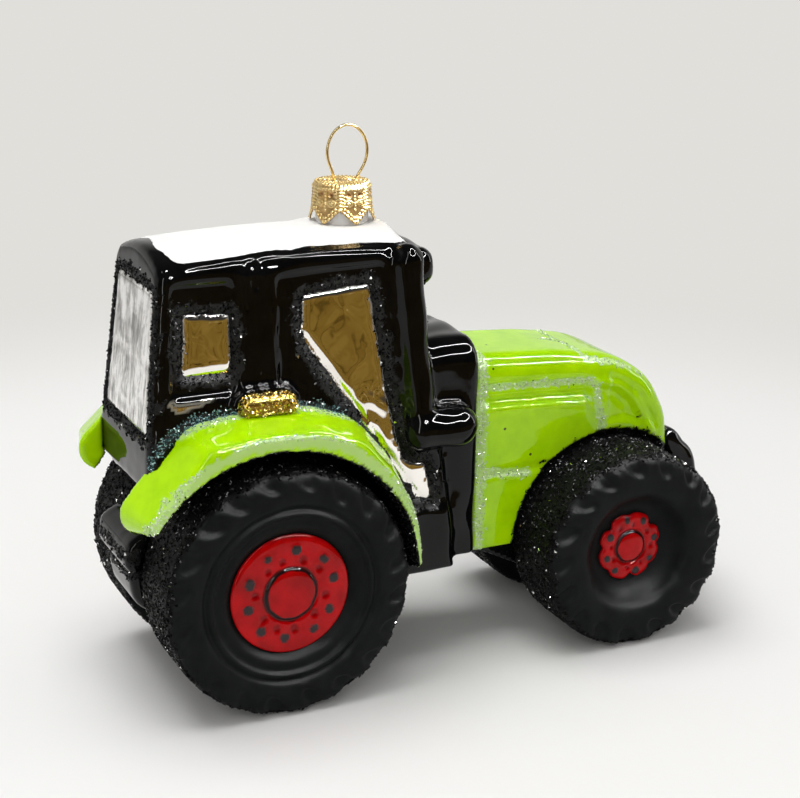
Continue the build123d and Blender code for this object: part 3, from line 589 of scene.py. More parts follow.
def dipped_neck():
    """The silvered neck, with the roof's enamel run up its foot."""
    material, tree, shader = new_finish("dipped_neck", {"IOR": 1.45})
    height = add_node(tree, "SeparateXYZ", {0: object_coords(tree)}).outputs["Z"]
    uneven = plus_share(tree, height, noise_node(tree, 1.5, detail=2.0), 1.2 * MM)
    bare = range_node(tree, uneven, 73.9 * MM, 74.1 * MM)
    feed(tree, shader, {
        "Base Color": blend_node(tree, bare, (0.80, 0.79, 0.77, 1), (0.86, 0.83, 0.78, 1)),
        "Metallic": bare,
        "Roughness": range_node(tree, bare, 0.0, 1.0, 0.5, 0.06),
    })
    return material


def tyre_lacquer():
    material, tree, shader = new_finish("tyre_lacquer", {"IOR": 1.5, "Specular IOR Level": 0.06})
    patch = noise_node(tree, 5.0, detail=4.0, rough=0.6)
    skin = noise_node(tree, 0.35, detail=2.0)
    matt = ramp_node(tree, patch, [(0.3, (0.0038, 0.0046, 0.0046)), (0.7, (0.0080, 0.0092, 0.0092))])
    feed(tree, shader, {
        "Base Color": blend_node(tree, point_value(tree, "bed"), matt, (0.006, 0.006, 0.006, 1)),
        "Roughness": grey_ramp(tree, patch, 0.40, 0.50),
    })
    relief(tree, shader, plus_share(tree, patch, skin, 0.12), 0.12)
    return material


def hub_lacquer():
    """Red, with painted dots, a painted ring, and painted shade in the dented dimples."""
    material, tree, shader = new_finish("hub_lacquer", {"IOR": 1.5, "Specular IOR Level": 0.16})
    flow = use_group(tree, "lacquer", {"Ripple": 0.8, "Skin": 0.03, "Gloss": 0.03})
    colour = blend_node(tree, flow["Thick"], (0.50, 0.0012, 0.003, 1), (0.30, 0.0004, 0.0015, 1))
    # The dimples are darkened to a deep red: painted shade in the dents.
    for mark, paint in (
        ("dimple_shade", (0.16, 0.0, 0.002, 1)),
        ("bolt", (0.032, 0.024, 0.026, 1)),
        ("line", (0.008, 0.006, 0.006, 1)),
    ):
        colour = blend_node(tree, point_value(tree, mark), colour, paint)
    feed(tree, shader, {"Base Color": colour, "Roughness": flow["Roughness"]})
    relief(tree, shader, flow["Height"], 0.10)
    return material


def gold(name, light, dark, roughness, hollow=False):
    material, tree, shader = new_finish(name, {"Metallic": 0.7 if hollow else 0.9})
    tarnish = noise_node(tree, 1.6, detail=4.0, rough=0.6)
    tone = ramp_node(tree, tarnish, [(0.35, dark), (0.65, light)])
    if hollow:
        # In the cap's hollows the gold is darkened to brown: painted shade.
        tone = blend_node(tree, point_value(tree, "hollow"), tone, (0.30, 0.13, 0.035, 1))
    low, high = roughness
    feed(tree, shader, {"Base Color": tone, "Roughness": grey_ramp(tree, tarnish, high, low)})
    relief(tree, shader, noise_node(tree, 0.3, detail=2.0), 0.02)
    return material


def black_grain():
    material, tree, shader = new_finish("black_grain", {"IOR": 1.5, "Specular IOR Level": 0.12})
    tone = noise_node(tree, 0.6, detail=1.0)
    blacks = [(0.3, (0.0008, 0.0008, 0.0008)), (0.75, (0.004, 0.004, 0.0039))]
    feed(tree, shader, {
        "Base Color": ramp_node(tree, tone, blacks),
        "Roughness": grey_ramp(tree, tone, 0.16, 0.34),
    })
    return material


def spark(name, colour, roughness=0.08):
    """The few grains that lie so as to flash."""
    material, tree, shader = new_finish(name, {"Metallic": 1.0})
    tone = noise_node(tree, 0.5, detail=1.0)
    feed(tree, shader, {
        "Base Color": ramp_node(tree, tone, [(0.3, tuple(0.6 * c for c in colour)), (0.6, colour)]),
        "Roughness": grey_ramp(tree, tone, roughness, 2 * roughness),
    })
    return material


def tinted_grain(name, metallic, roughness):
    """Grains that take their colour from where they lie."""
    material, tree, shader = new_finish(name, {"IOR": 1.5, "Metallic": metallic})
    tint = add_node(tree, "Attribute", attribute_name="tint").outputs["Color"]
    tone = noise_node(tree, 0.5, detail=1.0)
    shade = grey_ramp(tree, tone, 0.72, 1.0, (0.35, 0.65))
    feed(tree, shader, {
        "Base Color": blend_node(tree, 1.0, tint, shade, "MULTIPLY"),
        "Roughness": grey_ramp(tree, tone, roughness, 1.6 * roughness),
    })
    return material


MATERIALS = {
    "black_lacquer": black_lacquer(),
    "lime_lacquer": lime_lacquer(),
    "silvered_glass": silvered_glass(),
    "dipped_neck": dipped_neck(),
    "rear_silver": silvered_glass("smeared_silver", (1.7, 1.7, 0.3), 0.10, 2.4, 0.9),
    "white_enamel": roof_enamel(),
    "tyre_lacquer": tyre_lacquer(),
    "hub_lacquer": hub_lacquer(),
    # The cap's sheet gold, with painted shade darkening its hollows.
    "gold_sheet": gold("gold_sheet", (0.84, 0.66, 0.31), (0.70, 0.49, 0.18), (0.26, 0.38), hollow=True),
    "gold_wire": gold("gold_wire", (0.90, 0.72, 0.36), (0.70, 0.50, 0.20), (0.10, 0.2)),
    "grain": black_grain(),
    "spark": spark("bright_spark", (0.95, 0.95, 0.93)),
    "white_grain": tinted_grain("white_grain", 0.0, 0.14),
    "white_spark": tinted_grain("white_spark", 1.0, 0.12),
    "gold_grain": tinted_grain("gold_grain", 1.0, 0.16),
    "gold_spark": spark("gold_spark", (1.0, 0.86, 0.5)),
}


def finish(piece, material, body="glass"):
    """Gives a piece its material and the body that it moves with."""
    if material:
        piece.data.materials.clear()
        piece.data.materials.append(MATERIALS[material])
    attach(piece, body)
    return piece


# ---- Glass forms ----

PANE_NODES = {
    "rear_window": "rear_silver",
    "windscreen": "silvered_glass",
    "door_window_left": "silvered_glass",
    "door_window_right": "silvered_glass",
    "quarter_window_left": "silvered_glass",
    "quarter_window_right": "silvered_glass",
}
FRAME_WIDTH = 1.8  # black glitter round each pane

# The door windows' lower rear edge, as (x, z, half width), where the glass turns down in two steps
DOOR_EDGE = [(5.1, 55.3, 0), (12.0, 45.2, 0), (23.5, 27.9, 0)]

# Bare silver left between the enamel and the lacquer under the quarter windows
SILVER_CRESCENT = [(-15.2, 48.9, 0.35), (-14.4, 48.1, 0.45), (-12.2, 48.2, 0.32), (-9.2, 48.9, 0.12)]

# Bands of white glitter, as (x, z, half width) in side view
JOINT_BAND = [(36.3, 16.6, 0.75), (36.3, 30.0, 0.8), (36.3, 50.6, 0.8)]
HOOD_UPPER_BAND = [
    (36.9, 44.3, 0.62), (47.0, 43.75, 0.6), (55.8, 43.2, 0.55), (57.3, 42.4, 0.55), (58.0, 38.4, 0.7),
    (58.9, 34.6, 0.75),
]
HOOD_LOWER_BAND = [(36.9, 30.1, 0.85), (40.6, 29.5, 0.75), (45.2, 29.0, 0.6)]
# The same in plan, as (x, y, half width), over the top of the bonnet
HOOD_CROSS_BAND = [
    (52.2, 0.0, 0.5), (54.9, 0.8, 0.5), (54.9, 7.4, 0.5), (55.4, 8.6, 0.45), (59.0, 8.6, 0.38),
    (62.7, 8.0, 0.3),
    (66.8, 7.5, 0.2),
]
# Round the rear fenders: along the lip, and along the joint with the cab
LIP_BAND = [
    (-20.8, 32.6, 0.9), (-18.7, 35.7, 0.8), (-16.4, 38.3, 0.75), (-13.7, 40.4, 0.7), (-10.9, 41.9, 0.7),
    (-8.0, 42.9, 0.75), (-4.5, 43.5, 0.85), (-0.8, 43.6, 0.85), (2.8, 43.3, 0.85), (6.5, 42.6, 0.85),
    (9.5, 41.2, 0.8), (12.1, 39.0, 0.75), (14.5, 36.6, 0.8), (16.8, 34.0, 0.85), (18.8, 31.0, 1.0),
    (20.0, 27.8, 1.3), (20.8, 24.2, 1.6), (21.1, 22.2, 1.8),
]
ROOT_BAND = [
    (-18.9, 40.2, 0.55), (-17.0, 43.0, 0.75), (-15.2, 44.5, 0.85), (-13.0, 45.5, 0.85),
    (-10.8, 45.9, 0.85), (-8.2, 46.2, 0.75), (-6.4, 46.4, 0.65), (3.0, 46.2, 0.65), (6.2, 45.7, 0.8),
    (9.0, 44.8, 0.85),
    (11.2, 43.4, 0.85), (13.6, 41.0, 0.75), (16.2, 38.0, 0.65), (18.6, 34.4, 0.55), (20.6, 30.4, 0.5),
]


def cab_body(panes):
    """The black cab, cowl and pipe as one form, with its panes' frames marked for glitter."""
    nodes = ["cab_shell", "roof", "visor", "exhaust", "cowl"]
    body = moulded("cab_body", nodes, 0.54, 3, backing=PANE_NODES)
    points, normals = places(body), facings(body)
    x, z = points[:, 0], points[:, 2]
    flank = smooth_step(np.abs(points[:, 1]), 9.0, 10.2)
    lift = np.zeros(len(points))
    # The glass is blown out over each recess, and pinched in at the pillar between them
    for rear, front, round_off in ((-14.2, -3.2, 3), (2.2, 20.0, 5), (20.6, 24.6, 2)):
        along = np.abs(2 * x - rear - front) / (front - rear)
        lift += 0.50 * np.clip(1 - along**round_off, 0, 1) * bell(z - 67.9, 1.2)
    lift -= 0.42 * bell(z - 67.8, 0.9) * smooth_step(24.8 - x, 0, 1)
    pipe = smooth_step(x, 23.0, 24.5)
    post = x - (-2.1 + (68.5 - z) * 0.072)
    height = smooth_step(z, 47.5, 50) * fade(z, 67.8, 69.2)
    ridges = 0.42 * bell(post + 1.2, 0.55) + 0.42 * bell(post - 1.2, 0.55) - 0.10 * bell(post, 0.5)
    lift += ridges * height
    swell(body, lift * flank + 0.20 * pipe * waver(points, 5.0, 23))
    points = places(body)
    gap = distance_to(surface_tree(*panes.values()), points, 4.0)
    swell(body, -0.32 * fade(gap, 0.1, 0.7))
    points, normals = places(body), facings(body)
    ragged = 0.32 * waver(points, 1.2, 3) + 0.22 * waver(points, 0.45, 13)
    frames = smooth_step(gap, -0.1, 0.05) * fade(gap + ragged, FRAME_WIDTH - 0.25, FRAME_WIDTH + 0.25)
    side = points[:, [0, 2]]
    flank = np.abs(normals[:, 1]) > 0.6
    bare = fade(band(side, SILVER_CRESCENT), -0.1, 0.1) * flank
    joint = smooth_step(np.abs(points[:, 1]), 10.5, 11.5) * (np.abs(normals[:, 1]) > 0.4)
    joint *= fade(band(side, ROOT_BAND) + 0.3 * waver(points, 0.8, 6), -0.1, 0.35)
    frames = frames * (1 - joint)
    put_value(body, "bed", np.maximum(frames, joint))
    put_value(body, "bare", bare)
    finish(body, "black_lacquer")
    return body, frames, joint


def from_edge(pane):
    """How far each point of a thin pane is from its outline, in millimetres."""
    points, normals = places(pane), facings(pane)
    flat = normals @ np.linalg.svd(normals, full_matrices=False)[2][0]
    rim = points[np.abs(flat) < 0.55]
    tree = KDTree(len(rim))
    for index, point in enumerate(rim):
        tree.insert(point, index)
    tree.balance()
    return np.array([tree.find(point)[2] for point in points])


def window_panes():
    panes = {}
    for node, material in PANE_NODES.items():
        pane = moulded("pane_" + node, [node], 0.34, 2)
        away, flat = from_edge(pane), places(pane)[:, [0, 2]]
        edge = 0.16 * bell(away, 0.6)
        if node.startswith("door"):
            near = band(flat, DOOR_EDGE)
            edge += 0.40 * fade(near, 1.1, 2.1) + 0.10 * fade(near, 0.0, 1.1)
            edge += 0.10 * waver(flat, 2.4, 41) * smooth_step(50.0 - flat[:, 1], 0, 5)
        if node.startswith("quarter"):
            edge += 0.50 * bell(flat[:, 1] - flat[:, 1].min(), 1.5)
        swell(pane, 0.20 + 0.03 * waver(places(pane), 4.0, 17) - edge)
        put_value(pane, "rim", fade(away + 0.12 * waver(places(pane), 0.7, 29), 0.30, 0.42))
        panes[node] = finish(pane, material)
    return panes


def underbody():
    """Belly, tail, hitch bar and nose weight."""
    body = moulded("underbody", ["chassis", "hitch_bar", "tail_housing", "front_weight", "grille"], 0.55, 3)
    points, normals = places(body), facings(body)
    swirl = waver(points[:, [0, 2]] * [1.0, 0.7], 2.6, 11)
    nose = smooth_step(points[:, 0], WHEELBASE + 7, WHEELBASE + 10)
    swell(body, nose * 0.28 * (np.abs(swirl) ** 0.6 - 1.05))
    rear = (points[:, 0] < -13.5) & (normals[:, 0] < 0.3)
    ragged = 0.3 * waver(points, 1.0, 5)
    bands = np.zeros(len(points))
    for level in (20.9, 24.3):
        bands = np.maximum(bands, fade(np.abs(points[:, 2] - level) + ragged, 0.75, 1.05))
    bands *= rear
    put_value(body, "bed", bands)
    put_value(body, "bare", np.zeros(len(points)))
    finish(body, "black_lacquer")
    return body, bands


# Creases pressed into the bonnet's flanks, as (x, z, half width) with how far they stand out
HOOD_CREASES = [
    (-0.50, [(36.8, 42.25, 0.1), (46.0, 41.85, 0.1), (55.3, 41.4, 0.1), (56.2, 40.4, 0.1)]),
    (0.20, [(38.5, 40.9, 0.2), (50.9, 40.2, 0.2), (54.6, 39.7, 0.2)]),
    (0.46, [(57.8, 42.9, 0.2), (62.0, 41.6, 0.25), (65.2, 39.0, 0.3), (67.6, 35.0, 0.3), (68.9, 32.4, 0.3)]),
    (-0.25, [(58.6, 40.9, 0.3), (61.2, 39.9, 0.4), (63.6, 37.9, 0.4), (65.6, 34.6, 0.3)]),
]


def under_arch(points, normals, axle, reach):
    """How far each point belongs to the underside that faces a wheel, from 0 to 1."""
    across, up = points[:, 0] - axle[0], points[:, 2] - axle[1]
    away = np.hypot(across, up)
    toward = -(normals[:, 0] * across + normals[:, 2] * up) / np.maximum(away, 1e-6)
    return smooth_step(toward + 0.12 * waver(points, 0.9, 14), 0.3, 0.5) * fade(away, reach, reach + 0.8)


def bonnet():
    body = moulded("bonnet", ["hood"], 0.42, 3)
    points, normals = places(body), facings(body)
    lift = np.zeros(len(points))
    for height, path in HOOD_CREASES:
        gap = np.maximum(band(points[:, [0, 2]], path), 0)
        lift += height * bell(gap, 0.45)
    # Below the upper crease the flank stands out like a pressed panel
    x, z = points[:, 0], points[:, 2]
    below = smooth_step(41.35 - 0.045 * (x - 37) - z, 0.0, 0.8)
    lift += 0.42 * below * fade(x, 55.0, 56.0) * smooth_step(z, 34.0, 40.0)
    swell(body, lift * smooth_step(np.abs(normals[:, 1]), 0.45, 0.7))
    points, normals = places(body), facings(body)
    side, plan = points[:, [0, 2]], np.abs(points[:, :2])
    ragged = 0.16 * waver(points, 0.9, 7)
    joint = fade(band(side, JOINT_BAND) + ragged, -0.15, 0.15)
    flank = np.abs(normals[:, 1]) > 0.55
    lines = np.minimum(band(side, HOOD_UPPER_BAND), band(side, HOOD_LOWER_BAND))
    lines = fade(lines + ragged, -0.15, 0.15) * flank
    over = fade(band(plan, HOOD_CROSS_BAND) + ragged, -0.12, 0.12) * (normals[:, 2] > 0.3)
    bed = np.maximum(np.maximum(joint, lines), over)
    axle = AXLES["front"]
    under = under_arch(points, normals, axle, 20.5)
    rim = polar(points, axle)[0] + 0.10 * waver(points, 0.8, 19)
    under = np.maximum(under, fade(rim, 17.7, 17.9) * smooth_step(np.abs(normals[:, 1]), 0.2, 0.4))
    bed = bed * (1 - under)
    put_value(body, "bed", bed)
    put_value(body, "under", under)
    finish(body, "lime_lacquer")
    return body, bed, under


def fender(side):
    name = SIDE_NAMES[side]
    body = moulded("fender_shell_" + name, ["fender_" + name], 0.42, 4)
    points = places(body)
    # The front end runs out to a point
    axle = AXLES["rear"]
    away, angle = polar(points, axle)
    thin = 0.72 * smooth_step(32.0 - points[:, 2], 0.0, 9.5) * (points[:, 0] > 10)
    inner_rim = axle[1] + 1.0
    away = np.where(away > inner_rim, inner_rim + (away - inner_rim) * (1 - thin), away)
    points[:, 0], points[:, 2] = axle[0] + away * np.cos(angle), axle[1] + away * np.sin(angle)
    move_to(body, points)
    normals = facings(body)
    flat = points[:, [0, 2]]
    ragged = 0.22 * waver(points, 0.9, 8 + side)
    reach = np.abs(points[:, 1])
    outer = smooth_step(reach, 16.5, 18.0) * (normals[:, 1] * side > -0.2)
    lip = fade(band(flat, LIP_BAND) + ragged, -0.15, 0.15) * outer
    inner = fade(reach, 13.6, 14.6)
    root = fade(band(flat, ROOT_BAND) + ragged, -0.2, 0.2) * inner
    root *= smooth_step(points[:, 0], -17.5, -16.5)
    under = under_arch(points, normals, axle, 25.0)
    bed = np.maximum(lip, root) * (1 - under)
    put_value(body, "bed", bed)
    put_value(body, "under", under)
    finish(body, "lime_lacquer")
    return body, bed, under


def lamp(side):
    name = SIDE_NAMES[side]
    body = moulded("lamp_" + name, ["fender_lamp_" + name], 0.25, 4)
    put_colour(body, "tint", np.tile([0.5, 0.34, 0.07], (len(body.data.vertices), 1)))
    return finish(body, "gold_grain")


# ---- Wheels ----

# Half sections in (radius, distance off the centre plane), from the axle inside round to the axle outside
TYRE_SECTIONS = {
    "rear": [
        (0, 6.62), (9, 6.62), (18.2, 6.62), (19.1, 6.7), (19.25, 7.3), (19.3, 9.5), (19.32, 13.7),
        (19.3, 17.4),
        (19.25, 18.7), (19.0, 19.4), (18.5, 19.85), (17.6, 20.1), (16.4, 20.18), (15.0, 20.15), (14.25, 20.0),
        (13.85, 19.55), (13.45, 19.5), (13.1, 19.95), (12.65, 20.05), (12.3, 19.6), (11.9, 19.4),
        (11.3, 19.5),
        (10.7, 19.4), (10.1, 18.95), (9.5, 18.35), (9.0, 18.1), (4, 18.1), (0, 18.1),
    ],
    "front": [
        (0, 6.62), (8, 6.62), (15.2, 6.62), (16.1, 6.7), (16.25, 7.3), (16.3, 9.5), (16.32, 13.7),
        (16.3, 17.4),
        (16.25, 18.6), (15.95, 19.3), (15.4, 19.8), (14.4, 20.05), (13.2, 20.15), (11.8, 20.15),
        (10.6, 20.02),
        (9.8, 19.7), (9.2, 19.1), (8.6, 18.2), (7.9, 17.4), (7.1, 16.8), (6.2, 16.4), (5.7, 16.2),
        (3, 16.2), (0, 16.2),
    ],
}
TREADS = {"rear": 20, "front": 17}


def turned_piece(name, section, centre, side, steps, levels):
    """A section spun once round an axle across the tractor, made smooth."""
    form = spin_section([(radius, side * reach, 0) for radius, reach in section], (0, 1, 0), steps)
    bmesh.ops.translate(form, verts=form.verts, vec=(centre[0], 0, centre[1]))
    return subdivide(piece_from(form, name), levels)


def tyre(end, side):
    centre = AXLES[end]
    name = f"{end}_{SIDE_NAMES[side]}"
    body = turned_piece("tyre_body_" + name, TYRE_SECTIONS[end], centre, side, 48, 2)
    points = places(body)
    radius, angle = polar(points, centre)
    reach = np.abs(points[:, 1])
    crown = centre[1]
    count = TREADS[end]
    source = np.random.default_rng(40 + count + side)
    # Rounded hollows between the lugs run in from the shoulder, each a little different
    turn = angle * count / (2 * math.pi) + 0.16 * (crown - 2.0 - radius) / 2.0
    lug = np.floor(turn).astype(int) % count
    pitch = 2 * math.pi * crown / count
    across = (turn - np.floor(turn) - 0.5 + source.uniform(-0.07, 0.07, count)[lug]) * pitch
    half = source.uniform(0.24, 0.33, count)[lug] * pitch
    deep = source.uniform(0.45, 0.80, count)[lug]
    foot = crown - source.uniform(3.1, 4.3, count)[lug]
    inside = np.maximum(foot + half - radius, 0)
    gap = np.hypot(across, inside) - half
    zone = fade(radius, crown - 0.5, crown - 0.05)
    face = smooth_step(reach, 18.4, 19.3)
    hollow = deep * fade(gap, -0.75, 0.25) * zone
    brow = 0.10 * bell(gap - 0.45, 0.4) * zone * (radius > foot - 1)
    depth = (hollow - brow) * face
    points[:, 1] -= side * (depth + 0.10 * waver(points, 3.0, 21) * face * (radius < crown - 0.5))
    keep_in_width(points)
    move_to(body, points)
    ragged = 0.28 * waver(np.c_[radius, angle * radius, reach], 1.0, 31)
    edge = (TYRE_FACE - 0.62) - reach + 0.55 * ragged
    tread = smooth_step(radius + ragged, crown - 1.1, crown - 0.7)
    tread = tread * smooth_step(edge, -0.12, 0.12) * (reach > 6.75)
    put_value(body, "bed", tread)
    finish(body, "tyre_lacquer")
    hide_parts("tyre_" + name)

    def hold(grains):
        away, _ = polar(grains, centre)
        pull = np.minimum(1, (crown - 0.02) / np.maximum(away, 1e-6))
        grains[:, 0] = centre[0] + (grains[:, 0] - centre[0]) * pull
        grains[:, 2] = centre[1] + (grains[:, 2] - centre[1]) * pull
        return grains

    return body, tread, hold


HUB_SECTIONS = {
    "rear": [(0, 18.2), (4, 18.2), (8.6, 18.2), (9.0, 18.45), (8.95, 18.8), (8.55, 19.02), (7.9, 19.1),
             (6.4, 19.12),
             (5.0, 19.1), (4.62, 19.04), (4.4, 18.86), (4.2, 18.86), (4.0, 19.1), (3.5, 19.28),
             (2.0, 19.42), (0, 19.5)],
    "front": [(0, 16.2), (3, 16.2), (5.2, 16.2), (5.6, 16.45), (5.5, 16.85), (5.1, 17.05), (4.5, 17.12),
              (3.6, 17.12),
              (3.2, 17.05), (2.95, 16.8), (2.75, 16.8), (2.6, 17.08), (2.2, 17.28), (1.2, 17.42), (0, 17.5)],
}
HUB_FLARE = 0.05  # share by which a hub's rim stands out past its section
# line: the painted ring's radii. bolts, ring, dot: number of painted dots, their circle and size.
# dimples, pit_ring, pit: the same for the dents, which are also darkened as painted shade. lobes: scallops
# round the rim
HUB_MARKS = {
    "rear": dict(line=(3.72, 4.42), bolts=10, ring=7.0, dot=0.74,
                 dimples=10, pit_ring=5.6, pit=0.62, lobes=0),
    "front": dict(line=(2.35, 2.95), bolts=8, ring=4.6, dot=0.6,
                  dimples=8, pit_ring=3.8, pit=0.42, lobes=8),
}


def hub(end, side):
    marks = HUB_MARKS[end]
    centre = AXLES[end]
    name = f"{end}_{SIDE_NAMES[side]}"
    body = turned_piece("hub_body_" + name, HUB_SECTIONS[end], centre, side, 48, 2)
    points = places(body)
    radius, angle = polar(points, centre)
    reach = np.abs(points[:, 1])
    front = smooth_step(reach, HUB_SECTIONS[end][3][1], HUB_SECTIONS[end][6][1] - 0.05)
    edge = smooth_step(radius, 0.75 * radius.max(), radius.max())
    for axis, middle in ((0, centre[0]), (2, centre[1])):
        points[:, axis] = middle + (points[:, axis] - middle) * (1 + HUB_FLARE * edge)
    across, up = points[:, 0] - centre[0], points[:, 2] - centre[1]
    source = np.random.default_rng(60 + marks["bolts"] + side)
    if marks["lobes"]:
        notch = np.cos(angle * marks["lobes"] + 0.5 * np.sin(angle * 2 + 1)) * 0.5 + 0.5
        pull = 1 - (0.11 + 0.05 * np.sin(angle * 3)) * notch**3 * smooth_step(radius, 3.6, 5.4)
        points[:, 0], points[:, 2] = centre[0] + across * pull, centre[1] + up * pull
        across, up = points[:, 0] - centre[0], points[:, 2] - centre[1]

    def dots(count, ring, size, turn, spread):
        nearest = np.full(len(points), 9.0)
        for index in range(count):
            spot = turn + index * 2 * math.pi / count + source.normal() * spread
            place = ring + source.normal() * 0.12
            grow = source.uniform(0.85, 1.2)
            aside, above = across - place * math.cos(spot), up - place * math.sin(spot)
            away = np.hypot(aside, above * source.uniform(0.85, 1.1))
            nearest = np.minimum(nearest, away / grow - size)
        return nearest

    half = math.pi / marks["bolts"]
    bolt = dots(marks["bolts"], marks["ring"], marks["dot"], half * 0.6, 0.05)
    pit = dots(marks["dimples"], marks["pit_ring"], marks["pit"], half * 1.6, 0.07)
    relief_height = 0.10 * fade(bolt, -0.3, 0.15) - 0.26 * fade(pit, -0.6, 0.35)
    points[:, 1] += side * front * relief_height
    move_to(body, points)
    wobble = 0.07 * waver(np.c_[across, up], 1.4, 77)
    inner, outer = marks["line"]
    brushed = radius + wobble
    line = smooth_step(brushed, inner - 0.06, inner + 0.06) * fade(brushed, outer - 0.06, outer + 0.06)
    put_value(body, "bolt", fade(bolt + wobble, -0.08, 0.08) * front)
    # Painted shade: the dented dimples are marked to be darkened.
    put_value(body, "dimple_shade", 0.75 * fade(pit + wobble, -0.2, 0.1) * front)
    put_value(body, "line", line * front)
    finish(body, "hub_lacquer")
    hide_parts("hub_" + name)
    return body


# ---- Roof enamel, neck, cap and hanger ----

# The painted edge of the roof's white patch, as (x, y), from the rear round by the tractor's right
ENAMEL_EDGE = [
    (-14.0, 0.0), (-14.35, -3.3), (-14.0, -5.8), (-13.5, -7.9), (-12.4, -9.0), (-10.0, -9.35), (-6.3, -9.35),
    (2.0, -8.85), (11.2, -8.5), (19.2, -8.35), (22.6, -8.5), (24.0, -8.3), (23.6, -7.0), (23.0, -4.2),
    (22.6, -2.0),
    (22.4, 1.0), (22.9, 4.6), (22.6, 7.4), (21.0, 8.4), (12.0, 8.7), (2.0, 9.0), (-7.0, 9.3), (-11.5, 9.1),
    (-13.3, 8.0), (-13.9, 5.0), (-13.5, 2.4),
]


def edge_reach(outline, middle):
    """A table of the outline's distance from the middle, by angle."""
    points = np.array(outline + outline[:1], float) - middle
    walk = np.concatenate([np.linspace(a, b, 40, endpoint=False) for a, b in zip(points[:-1], points[1:])])
    angle = np.arctan2(walk[:, 1], walk[:, 0])
    order = np.argsort(angle)
    return angle[order], np.hypot(walk[:, 0], walk[:, 1])[order]


def enamel_patch(cab):
    """The white patch on the roof: a disc laid over the crown, with a hand-painted edge."""
    high = box_mm("roof_paint")[1]
    middle = np.array([4.6, 0.0])
    edge_angle, edge_far = edge_reach(ENAMEL_EDGE, middle)
    form = spin_section([(r, 0, 0) for r in np.linspace(0.0, 1.0, 33)], (0, 0, 1), 176, 1e-5)
    tree = surface_tree(cab)
    neck_low, neck_high = box_mm("neck")
    neck = ((neck_low + neck_high) / 2 - ORIGIN)[:2]
    for vert in form.verts:
        part, angle = vert.co.length, math.atan2(vert.co.y, vert.co.x)
        edge = np.interp(angle, edge_angle, edge_far, period=2 * math.pi)
        turn = np.array([[math.cos(angle) * edge, math.sin(angle) * edge]])
        edge += 0.14 * waver(turn, 3.0, 4)[0] + 0.08 * waver(turn, 1.0, 9)[0]
        x, y = middle[0] + part * edge * math.cos(angle), part * edge * math.sin(angle)
        start = Vector(((np.array([x, y, 90.0]) + ORIGIN) * MM).tolist())
        hit = tree.ray_cast(start, Vector((0, 0, -1)))
        top = hit[0].z / MM if hit[0] else high[2]
        rim = (1 - part) * edge
        proud = 0.13 * smooth_step(np.array([rim]), 0.0, 0.35)[0] - 0.03
        # It pools round the foot of the neck, up to the cap
        crown = high[2] - 0.2
        pool = fade(np.array([math.hypot(x - neck[0], y - neck[1])]), 4.9, 9.0)[0]
        top = min(top, crown)
        vert.co = (x, y, top + (crown - top) * pool + proud - 0.05 * pool)
    bottom = bmesh.ops.extrude_face_region(form, geom=form.faces[:])
    moved = [g for g in bottom["geom"] if isinstance(g, bmesh.types.BMVert)]
    bmesh.ops.translate(form, verts=moved, vec=(0, 0, -0.4))
    bmesh.ops.recalc_face_normals(form, faces=form.faces)
    patch = piece_from(form, "enamel_patch")
    finish(patch, "white_enamel")
    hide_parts("roof_paint")
    return patch


CAP_PETALS = 6
CAP_TURN = math.radians(3.2)
CAP_NOTCH = 2.05  # from the points of the petals up to where two meet


def studs(across, up, spots, half_width, half_height):
    """A height from 0 to 1 over rounded studs at spots."""
    height = np.zeros(len(across))
    for u, v in spots:
        near = 1 - ((across - u) / half_width) ** 2 - ((up - v) / half_height) ** 2
        height = np.maximum(height, np.sqrt(np.clip(near, 0, 1)))
    return height


